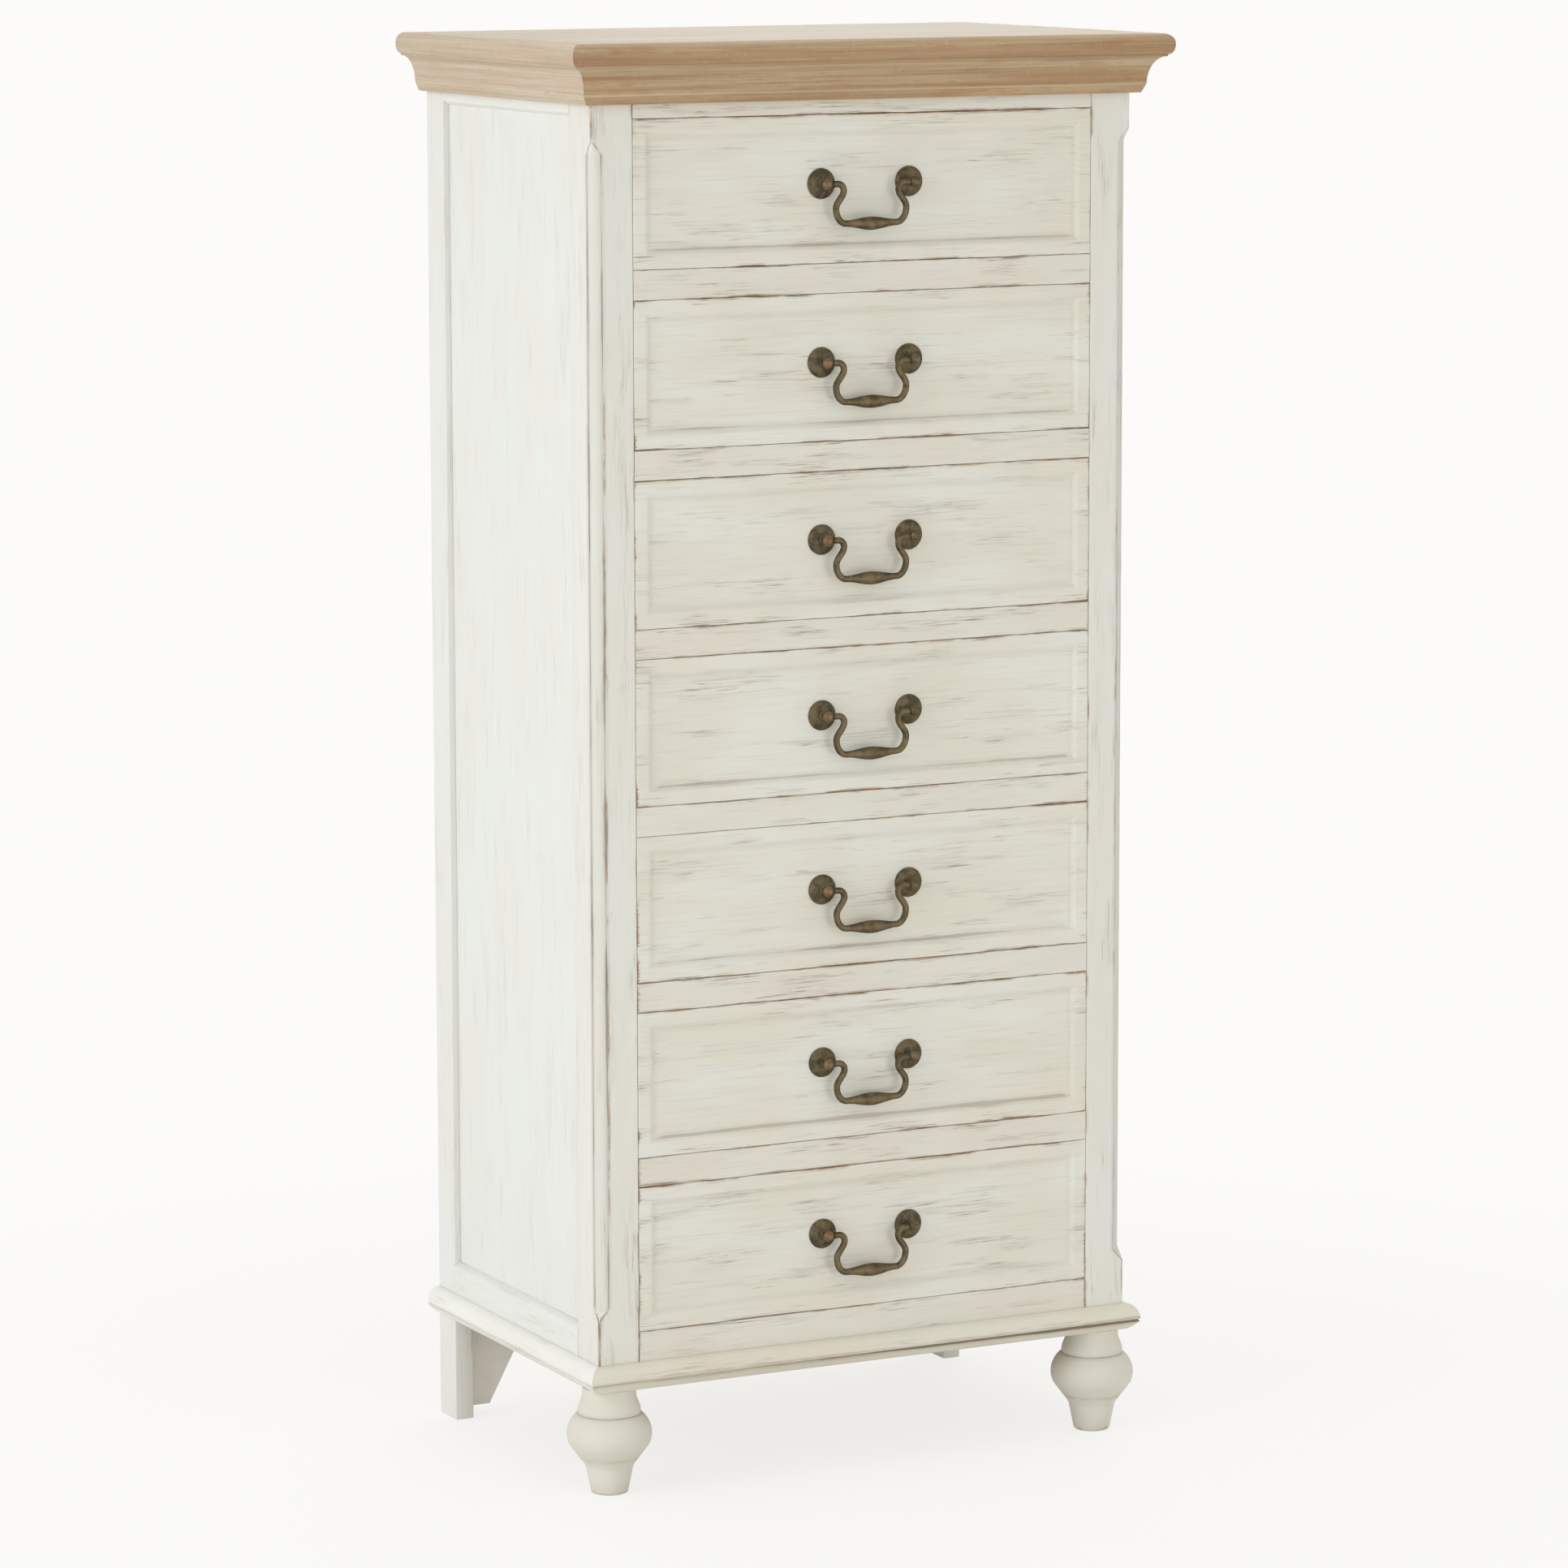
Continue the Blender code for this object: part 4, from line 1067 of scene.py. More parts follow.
@dataclass
class FrontPost:
    """Front post whose outer corner has a stopped quarter round between two small steps.

    Attributes:
        cut: How far the moulding reaches from the corner.
        step: Depth of the steps beside the round.
        stop: Height over which the round runs out.
        top_block: Plain height over the upper stop.
        bottom_block: Plain height under the lower stop.
        block_share: Size of the eased corner on the blocks, as a share of the moulding.
        rounding: Radius of the post's other edges.
        wander: Most that its worn edges sink.
        use: How hard the left and the right post were sanded, as shares.
    """

    cut: float = 12 * MM
    step: float = 1.8 * MM
    stop: float = 14 * MM
    top_block: float = 34 * MM
    bottom_block: float = 44 * MM
    block_share: float = 0.09
    rounding: float = 0.9 * MM
    wander: float = 0.35 * MM
    use: tuple[float, float] = (1.0, 0.6)

    def section(self, share: float, width: float, depth: float) -> np.ndarray:
        """Closed section of the post at a share of the full moulding.

        Args:
            share: One where the corner is fully moulded, near nought on the blocks.
            width: Width of the post across the front.
            depth: Depth of the post.

        Returns:
            Rows of (inward from the side face, inward from the front face).
        """
        cut, edge = self.cut * share, self.rounding
        near = np.array([0.0, 0.03, 0.07, 0.13, 0.22, 0.36, 0.6, 1.0])
        side = cut + (depth - edge - cut) * near[::-1]
        front = cut + (width - edge - cut) * np.concatenate([near[:-1], 1 - near[-3::-1]])
        quarter = bend(180, 270, 12) * (cut - self.step * share) + cut
        corner = bend(-90, 0, 3) * edge + [width - edge, edge]
        rear = bend(0, 90, 3) * edge + [width - edge, depth - edge]
        rear_side = bend(90, 180, 3) * edge + [edge, depth - edge]
        rows = [rows_of(0.0, side), quarter, rows_of(front, 0.0), corner[1:]]
        rows += [[[width, depth * 0.5]], rear, [[width * 0.5, depth]], rear_side[:-1]]
        return np.concatenate(rows)

    def sanding(self, section: np.ndarray, down: np.ndarray, share: np.ndarray) -> np.ndarray:
        """How hard each place was sanded: the lower block and stop most, the side step least.

        Down the post the front edges grow from a third to nearly full, as a straight line.
        A stop adds four times its share of the moulding times what is left of it.

        Args:
            section: Full section of the post.
            down: How far down the moulding each row is, from nought to one.
            share: Share of the moulding at each row.

        Returns:
            One value for each row and column.
        """
        front = (section[:, 1] < section[:, 0])[None, :]
        inner = (section[:, 0] > 0.5 * section[:, 0].max())[None, :]
        moulded = np.where(inner, 0.12 + 0.3 * down, np.where(front, 0.45 + 0.2 * down, 0.0))
        block = np.where(down > 0.5, 1.15, 0.6)
        stop = 4.0 * share * (1.0 - share) * np.where(down > 0.5, 0.5, 0.3)
        return moulded * share + block * (1.0 - share) + stop

    def build(self, levels: Levels) -> None:
        """Make both posts.

        Args:
            levels: Main planes of the case.
        """
        for (word, side), use in zip(SIDES, self.use):
            low, high = corners_of(f"front_post_{word}")
            width, depth = high[0] - low[0], high[1] - low[1]
            none = self.section(self.block_share, width, depth)
            full = self.section(1.0, width, depth)
            bottom = levels.base_top + self.bottom_block
            top = levels.cornice_bottom - self.top_block
            fine = np.linspace(0.0, self.stop, 13)
            middle = np.linspace(bottom + self.stop, top - self.stop, 90)[1:-1]
            under, over = np.linspace(low[2], bottom, 8)[:-1], np.linspace(top, high[2], 7)[1:]
            heights = np.concatenate([under, bottom + fine, middle, top - fine[::-1], over])
            rise = np.minimum(heights - bottom, top - heights) / self.stop
            share = (0.5 * np.clip(rise, 0.0, 1.0) + 0.5 * ease(rise))[:, None]
            section = none + (full - none) * share[..., None]
            moulded = closeness(full, [7, 21], ARRIS_REACH)
            inner = closeness(full, [int(np.argmax(full[:, 0] - full[:, 1]))], ARRIS_REACH)
            block = closeness(none, range(7, 22), ARRIS_REACH)
            edge = np.maximum(moulded * share + block * (1.0 - share), inner)
            worn = np.clip(edge * 6.0 - 5.0, 0.0, 1.0)
            sunk = self.wander * worn * ripple(heights, 0.05, int(side) + 5)[:, None]
            toward = np.sign(np.array([width, depth]) / 2 - section)
            section = section + toward * sunk[..., None] * 0.7
            place = Place((side * levels.side, levels.front, 0.0), (-side, 0.0, 0.0), BACKWARD, UPWARD)
            points = place.at(section[..., 0], section[..., 1], heights[:, None] + 0 * edge)
            crease = closeness(full, [8, 20], CREASE_REACH)
            # Raising the crease mark over the whole quarter round paints a soft shade on it in the wax
            # colour.
            crease[9:20] = np.maximum(crease[9:20], 0.7)
            skin = closed_grid(points, edge, crease * share)
            down = np.clip((top - heights) / (top - bottom), 0.0, 1.0)[:, None]
            skin.rub = use * self.sanding(full, down, share).ravel()
            add_piece(f"moulded_post_{word}", skin, Look.POST, "case", [f"front_post_{word}"])


@dataclass
class Sides:
    """Rear legs, and a low rail, a let-in panel and a top rail on each side.

    Attributes:
        low_show: Height of the low rail over the base moulding.
        top_show: Height of the top rail under the cornice.
        recess: How far the panel lies behind the rails.
        bevel: Height of the rails' sloping edges.
        panel: Thickness of the panel.
        tongue: How far the panel reaches into the rails.
    """

    low_show: float = 29 * MM
    top_show: float = 9 * MM
    recess: float = 7 * MM
    bevel: float = 4 * MM
    panel: float = 10 * MM
    tongue: float = 3 * MM

    def build(self, levels: Levels) -> None:
        """Make the pieces of both sides.

        Args:
            levels: Main planes of the case.
        """
        lower, upper = levels.base_top + self.low_show, levels.cornice_bottom - self.top_show
        shown = self.bevel - self.tongue
        for word, side in SIDES:
            leg = board(*corners_of(f"rear_post_{word}"), Facing.SIDE, 1.2 * MM, 0.3 * MM, 31)
            add_piece(f"rear_leg_{word}", leg, Look.PANEL, "case", [f"rear_post_{word}"])
            low, high = corners_of(f"side_panel_{word}")
            outer = side * (levels.side - self.recess)
            near, far = sorted([outer, outer - side * self.panel])
            panel_low = (near, low[1] + 0.1 * MM, lower + shown)
            panel_high = (far, high[1] - 0.1 * MM, upper - shown)
            panel = board(panel_low, panel_high, Facing.SIDE, 0.4 * MM, step=0.05)
            node = f"side_panel_{word}"
            add_piece(f"let_in_panel_{word}", panel, Look.PANEL, "case", [node])
            back, sunk = -float(high[0] - low[0]), -self.recess
            rails = (("low", low[2], lower, self.bevel), ("top", high[2], upper, -self.bevel))
            for level, far, near, slope in rails:
                profile = np.array([
                    [back, far], [-1.0 * MM, far], [0.0, far + math.copysign(1.0 * MM, slope)],
                    [0.0, near - slope], [0.0, near - slope * 0.3], [-0.3 * MM, near],
                    [sunk * 0.5, near + slope * 0.45], [sunk + 0.3 * MM, near + slope * 0.95],
                    [sunk - 0.3 * MM, near + slope], [back, near + slope],
                ])
                starts, ends = np.full(len(profile), low[1]), np.full(len(profile), high[1])
                place = side_on(side * levels.side, side)
                skin = carried_along(profile, starts, ends, place, [5], [8], 0.2 * MM, 41)
                add_piece(f"side_{level}_rail_{word}", skin, Look.SIDE_RAIL, "case")


@dataclass
class Carcass:
    """Rails between the drawers, the runners behind them and the back.

    Attributes:
        rail_depth: Depth of the painted rails.
        runner: Thickness of runners and rear rails.
        runner_width: Width of a runner.
        rear_rail: Depth of the rear rails.
        guide: Height of the drawer guides.
        joint: Gap between glued pieces.
        rounding: Radius of the rails' eased edges.
        rough: Radius of the hidden pieces' edges.
        pin_inset: Distance of the back's pins from its edges.
        toe: Width of the apron's feet.
        spread: Width of its slanting ends.
        ceiling: Height of the board between them.
    """

    rail_depth: float = 22 * MM
    runner: float = 18 * MM
    runner_width: float = 28.7 * MM
    rear_rail: float = 40 * MM
    guide: float = 14 * MM
    joint: float = 0.15 * MM
    rounding: float = 0.65 * MM
    rough: float = 0.6 * MM
    pin_inset: float = 12 * MM
    toe: float = 26 * MM
    spread: float = 41 * MM
    ceiling: float = 22 * MM

    def build(self, levels: Levels) -> None:
        """Make the rails, runners, guides, back and apron.

        Args:
            levels: Main planes of the case.
        """
        top = board(*corners_of("top_rail"), Facing.FRONT, self.rounding, 0.3 * MM, 50)
        add_piece("upper_rail", top, Look.RAIL, "case", ["top_rail"])
        post_back = float(corners_of("front_post_left")[1][1]) + 0.3 * MM
        for number in DRAWERS:
            self.frame_under(number, post_back)
        self.back(levels.back)
        self.apron()

    def frame_under(self, number: int, post_back: float) -> None:
        """Make the rail, runners, guides and rear rail under one drawer.

        Args:
            number: Drawer that they carry; one is the highest.
            post_back: Where the front posts end, toward the back.
        """
        node = f"runner_frame_{number}"
        low, high = corners_of(node)
        floor = float(corners_of(f"drawer_box_{number}")[0][2]) - 0.3 * MM
        side = float(corners_of("top_rail")[1][0])
        back, gap = low[1] + self.rail_depth, self.joint
        ends = (-side, low[1], low[2]), (side, back, floor)
        rail = board(*ends, Facing.FRONT, self.rounding, 0.35 * MM, 50 + number)
        add_piece(f"divider_rail_{number}", rail, Look.RAIL, "case", [node])
        hole = side - self.runner_width
        profile, arrises = board_profile(self.runner, self.rough, 12 * MM)
        strips = []
        for _, way in SIDES:
            inner, outer, shoulder = way * hole, way * high[0], way * side
            corners = [[inner, back + gap], [shoulder, back + gap], [shoulder, post_back]]
            corners += [[outer, post_back], [outer, high[1]], [inner, high[1]]]
            place = Place((0.0, 0.0, floor), up=BACKWARD, out=UPWARD)
            strips.append(carried_round(outline_of(corners, 0.08), profile, place, arrises))
            near, far = sorted([way * (side + self.rough), outer])
            ends = (near, post_back, floor + gap), (far, high[1], floor + self.guide)
            strips.append(board(*ends, Facing.UP, self.rough))
        add_piece(f"runners_{number}", joined(strips), Look.PINE_DEEP, "case")
        ends = (gap - hole, high[1] - self.rear_rail, floor - self.runner), (hole - gap, high[1], floor)
        rear = board(*ends, Facing.UP, self.rough)
        add_piece(f"rear_rail_{number}", rear, Look.PINE_WIDE, "case")

    def back(self, behind: float) -> None:
        """Make the plywood back and the pins that hold it.

        Args:
            behind: Plane of the panel's back.
        """
        low, high = corners_of("back_panel")
        panel = board(low, high, Facing.FRONT, 0.4 * MM, step=0.05)
        add_piece("plywood_back", panel, Look.PLY, "case", ["back_panel"])
        across = np.linspace(low[0] + self.pin_inset, high[0] - self.pin_inset, 5)
        up = np.linspace(low[2] + self.pin_inset, high[2] - self.pin_inset, 11)
        rows = [(x, z) for x in across for z in (up[0], up[-1])]
        rows += [(x, z) for x in (across[0], across[-1]) for z in up[1:-1]]
        head = [[0.4, -0.6], [1.5, -0.6], [1.9, -0.35], [1.9, -0.25], [1.2, -0.08], [0.4, -0.02]]
        head = np.array(head) * MM
        pins = [turned(head, Place((x, behind, z), out=BACKWARD), 12) for x, z in rows]
        add_piece("back_pins", joined(pins), Look.BRASS, "case")

    def apron(self) -> None:
        """Make the bracketed apron under the back."""
        low, high = corners_of("rear_apron")
        half, foot, bow = float(high[0]), float(high[0]) - self.toe, high[2] - self.ceiling
        inner = foot - self.spread
        corners = [[-half, low[2]], [-foot, low[2]], [-inner, bow], [inner, bow]]
        corners += [[foot, low[2]], [half, low[2]], [half, high[2]], [-half, high[2]]]
        profile, arrises = board_profile(float(high[1] - low[1]), 1.2 * MM, 10 * MM)
        place = Place((0.0, low[1], 0.0))
        outline = outline_of(corners, 0.02)
        apron = carried_round(outline, profile, place, arrises, wander=0.2 * MM, seed=77)
        add_piece("bracket_apron", apron, Look.SIDE_LIP, "case", ["rear_apron"])


@dataclass
class BaseMoulding:
    """Painted moulding round the foot of the case.

    Attributes:
        out: How far it stands out.
        undercut: Height of the slanting lower lip.
        land: Flat under it, next to the case.
        groove: Half of the groove's height.
        groove_depth: Depth of the groove.
        top_land: Flat on top, next to the case.
        wall: Gap to the case.
        groove_wax_and_shade_left: Share of the wax and of the soft painted shade in the front groove
            at its left end.
        groove_wax_and_shade_gain: How much more there is at its right end.
    """

    out: float = 13.5 * MM
    undercut: float = 9.3 * MM
    land: float = 3 * MM
    groove: float = 1.1 * MM
    groove_depth: float = 1.7 * MM
    top_land: float = 1.5 * MM
    wall: float = 0.3 * MM
    groove_wax_and_shade_left: float = 0.85
    groove_wax_and_shade_gain: float = 0.45

    def build(self, levels: Levels) -> None:
        """Make the front run and the two side runs.

        Args:
            levels: Main planes of the case.
        """
        profile = self.section(levels.bottom, levels.base_top)
        for word, starts, ends, place in levels.runs(profile, 0.15 * MM):
            skin = carried_along(profile, starts, ends, place, [4, 10], [6, 7], 0.25 * MM, 61)
            look = Look.SIDE_LIP
            if word == "front":
                look = Look.LIP
                # The crease mark here lays on the groove's wax and a soft painted shade in it, more toward
                # the right end.
                across = ease(0.5 + skin.points[:, 0] / (2.0 * levels.side))
                skin.crease = skin.crease * (self.groove_wax_and_shade_left + self.groove_wax_and_shade_gain * across)
            add_piece(f"foot_moulding_{word}", skin, look, "case", [f"base_moulding_{word}"])

    def section(self, bottom: float, top: float) -> np.ndarray:
        """Closed section: a quarter of an ellipse over a groove and a slanting lip.

        Rows 4 and 10 are its outer edges and rows 6 and 7 its inner corners.

        Args:
            bottom: Underside.
            top: Upper side.

        Returns:
            Rows of (out, up).
        """
        lip, floor = self.out - self.groove / 2, self.out - self.groove_depth
        low, high = bottom + self.undercut, bottom + self.undercut + 2 * self.groove
        lower = [
            [self.wall, bottom], [self.land, bottom], [self.land + 4.2 * MM, bottom + 2.8 * MM],
            [lip - 0.5 * MM, low - self.groove], [lip, low - self.groove / 2],
            [lip - 0.2 * MM, low - 0.1 * MM], [floor, low + self.groove * 0.6],
            [floor, low + self.groove], [floor + 0.4 * MM, high - 0.3 * MM],
        ]
        quarter = bend(0, 90, 14) * [self.out - self.top_land, top - high] + [self.top_land, high]
        return np.concatenate([lower, quarter, [[self.wall, top]]])


@dataclass
class FrontFoot:
    """Turned front foot: neck, collar, bulb with a straight taper, waist and toe.

    Attributes:
        neck: Radius under the case.
        collar: Radius of the collar over the bulb.
        bulb: Radius of the bulb.
        waist: Radius under the taper.
        toe: Radius at the floor.
        neck_level: Height at which the neck starts to flare.
        collar_level: Height of the collar.
        bulb_level: Height of the bulb's widest place.
        line_level: Height of the line cut in the taper.
        waist_level: Height of the waist.
        shoulder_curve: Radius of the bulb's upper arc.
        belly_curve: Radius of its lower arc.
        waist_curve: Radius of the hollow over the waist.
        middle: Radius of the flat ends' small rings.
    """

    neck: float = 26.6 * MM
    collar: float = 31.3 * MM
    bulb: float = 42.2 * MM
    waist: float = 23.2 * MM
    toe: float = 18.6 * MM
    neck_level: float = 101.0 * MM
    collar_level: float = 81.5 * MM
    bulb_level: float = 59.5 * MM
    line_level: float = 36.5 * MM
    waist_level: float = 25.0 * MM
    shoulder_curve: float = 26.0 * MM
    belly_curve: float = 21.0 * MM
    waist_curve: float = 12.0 * MM
    middle: float = 4 * MM

    def profile(self, height: float) -> tuple[np.ndarray, list[int]]:
        """Profile from the top down.

        The neck flares as half a cosine; two arcs make the bulb; a straight line that touches
        the lower arc and the waist's hollow makes the taper.

        Args:
            height: Height of the foot.

        Returns:
            Rows of (radius, height), and the rows that get wax and painted shade: two inner corners and one
            at the toe near the floor.
        """
        start = [[self.middle, height], [self.neck - 0.5 * MM, height], [self.neck, height - 0.6 * MM]]
        share = np.linspace(0.0, 1.0, 15)
        swing = (1.0 - np.cos(math.pi * share)) / 2
        fall = (self.neck_level - self.collar_level - 0.7 * MM) * share
        flare = rows_of(self.neck + (self.collar - self.neck) * swing, self.neck_level - fall)
        collar = np.array([self.collar, self.collar_level])
        collar = collar - np.array([[0.0, 0.0], [0.2, 0.7], [0.9, 1.2]]) * MM
        rise = self.collar_level - 1.8 * MM - self.bulb_level
        first = math.degrees(math.asin(rise / self.shoulder_curve))
        shoulder = bend(first, 0, 16) * self.shoulder_curve
        shoulder = shoulder + [self.bulb - self.shoulder_curve, self.bulb_level]
        lean = math.atan2(self.waist - self.toe, self.waist_level)
        hollow = np.array([math.cos(lean), -math.sin(lean)]) * self.waist_curve
        hollow = hollow + [self.waist, self.waist_level]
        belly = np.array([self.bulb - self.belly_curve, self.bulb_level])
        gap = hollow - belly
        touch = math.acos((self.belly_curve + self.waist_curve) / float(np.linalg.norm(gap)))
        taper = math.atan2(-gap[1], gap[0]) - touch
        lower = bend(0, -math.degrees(taper), 14)[1:] * self.belly_curve + belly
        cut = lower[-1] - (lower[-1, 1] - self.line_level) * np.array([math.tan(taper), 1.0])
        along = np.array([math.sin(taper), math.cos(taper)]) * 0.8 * MM
        into = np.array([-math.cos(taper), math.sin(taper)]) * 0.7 * MM
        line = [cut + along * 1.5, cut + along, cut + into, cut - along, cut - along * 1.5]
        fillet = bend(180 - math.degrees(taper), 180 - math.degrees(lean), 10)
        fillet = fillet * self.waist_curve + hollow
        tail = np.array([[0.1, 3.0], [-0.2, 1.6], [-0.9, 0.5], [-2.0, 0.0]]) * MM + [self.toe, 0.0]
        tail = [*tail, [self.middle, 0.0]]
        rows = [start, flare, collar, shoulder, lower, line, fillet, tail]
        ends = np.cumsum([len(row) for row in rows])
        # The last of these rows lies at the toe near the floor, where the crease mark paints shade.
        return np.concatenate(rows), [int(ends[2]) - 1, int(ends[4]) + 2, int(ends[6]) + 1]

    def build(self) -> None:
        """Make both feet."""
        for word, _ in SIDES:
            low, high = corners_of(f"foot_{word}")
            profile, creases = self.profile(float(high[2]))
            x, y, _ = (low + high) / 2
            skin = turned(profile, Place((x, y, 0.0), up=BACKWARD, out=UPWARD), 96, (), creases)
            add_piece(f"turned_foot_{word}", skin, Look.FOOT, "case", [f"foot_{word}"])


@dataclass
class DrawerFront:
    """Inset drawer front: a border with eased edges, an ogee step and a sunk field.

    Attributes:
        number: Number of the drawer; one is the highest.
        border: Width of the flat border.
        slope: Width of the step down to the field.
        sunk: Depth of the field.
        rounding: Radius of the outer edges.
        fit: How much closer its edges lie to the case than the solid's, as (ends, foot, head).
        end_worn: How hard its ends were sanded.
        foot_worn: How hard each drawer's foot was sanded.
        head_worn: How hard each drawer's head was sanded.
        corner_worn: How much harder its corners were.
        foot_wax: How much wax and soft painted shade the foot of each drawer's field holds.
        other_wax_and_shade: How much its ends and its head hold.
        sag: Most that its foot lies lower in places.
    """

    number: int
    border: float = 13 * MM
    slope: float = 5 * MM
    sunk: float = 2.6 * MM
    rounding: float = 0.7 * MM
    fit: Triple = (0.75 * MM, 0.7 * MM, 0.8 * MM)
    end_worn: float = 0.34
    foot_worn: tuple[float, ...] = (0.46, 0.36, 0.26, 0.42, 0.42, 0.36, 0.36)
    head_worn: tuple[float, ...] = (0.74, 0.58, 0.68, 0.54, 0.46, 0.58, 0.34)
    corner_worn: float = 0.3
    foot_wax: tuple[float, ...] = (1.0, 1.0, 0.76, 1.0, 1.0, 1.15, 0.7)
    other_wax_and_shade: tuple[float, float] = (0.6, 0.7)
    sag: float = 0.28 * MM

    def profile(self, thickness: float) -> tuple[np.ndarray, list[int], list[int]]:
        """Rows of (inset, depth) from the field to the middle of the back.

        The step's depth is a third S-shaped and two thirds straight share of the full depth.

        Args:
            thickness: Thickness of the front.

        Returns:
            The rows, those on outer edges and those on inner corners.
        """
        share = np.linspace(1.0, 0.0, 9)
        fall = (ease(share) + 2.0 * share) / 3.0
        inner = rows_of(
            self.border + self.slope + np.array([14.0, 7.0, 4.0, 2.0, 0.7]) * MM,
            np.array([1.0, 1.0, 0.985, 0.965, 0.945]) * self.sunk,
        )
        step = rows_of(self.border + self.slope * share, 0.92 * self.sunk * fall)
        flat = rows_of(np.array([12.0, 8.0, 5.0, 3.0, 1.9]) * MM, 0.0)
        edge = self.rounding * (1.0 - bend(0, 90, 5)[:, ::-1])
        back = [[0.0, thickness - 0.6 * MM], [0.6 * MM, thickness], [10 * MM, thickness]]
        arris = len(inner) + len(step) + len(flat) + 2
        return np.concatenate([inner, step, flat, edge, back]), [arris, arris + 1], [4, 5]

    def mark(self, skin: Skin, low: np.ndarray, high: np.ndarray) -> None:
        """Set how hard each edge was sanded and how much wax and painted shade the field's sides hold.

        A point takes the values of the edge that it lies closest to, and more within 30 mm of
        a corner. The field's foot holds wax all along, and its other sides only in places; a soft
        painted shade beside the step goes with the wax.
        The front's foot sinks by an uneven wave along the drawer.

        Args:
            skin: The front's skin.
            low: Its lowest corner.
            high: Its highest corner.
        """
        x, z = skin.points[:, 0], skin.points[:, 2]
        gaps = np.stack([np.minimum(x - low[0], high[0] - x), z - low[2], high[2] - z])
        nearest = gaps.argmin(axis=0)
        cornered = np.clip(1.0 - np.sort(gaps, axis=0)[1] / 0.03, 0.0, 1.0)
        drawer = self.number - 1
        worn = np.array([self.end_worn, self.foot_worn[drawer], self.head_worn[drawer]])
        skin.rub = worn[nearest] + self.corner_worn * cornered
        # Scales the crease mark, which lays on both the wax line and the soft painted shade.
        wax = np.array([self.other_wax_and_shade[0], self.foot_wax[drawer], self.other_wax_and_shade[1]])
        skin.crease = skin.crease * wax[nearest]
        near_foot = np.clip(1.0 - (z - low[2]) / (1.5 * MM), 0.0, 1.0)
        skin.points[:, 2] = z - self.sag * ripple(x, 0.12, 30 + self.number) * near_foot

    def build(self) -> None:
        """Make the front."""
        node = f"drawer_front_{self.number}"
        low, high = corners_of(node)
        ends, foot, head = self.fit
        low, high = low - [ends, 0.0, foot], high + [ends, 0.0, head]
        width, thickness, height = high - low
        outline = outline_of([[0, 0], [width, 0], [width, height], [0, height]], 0.008)
        shape = (outline, *self.profile(float(thickness)))
        skin = carried_round(shape[0], shape[1], Place(tuple(low)), *shape[2:], 0.35 * MM, 80 + self.number)
        self.mark(skin, low, high)
        name, body = f"sunk_field_front_{self.number}", f"drawer_{self.number}"
        add_piece(name, skin, Look.FRONT, body, [node])


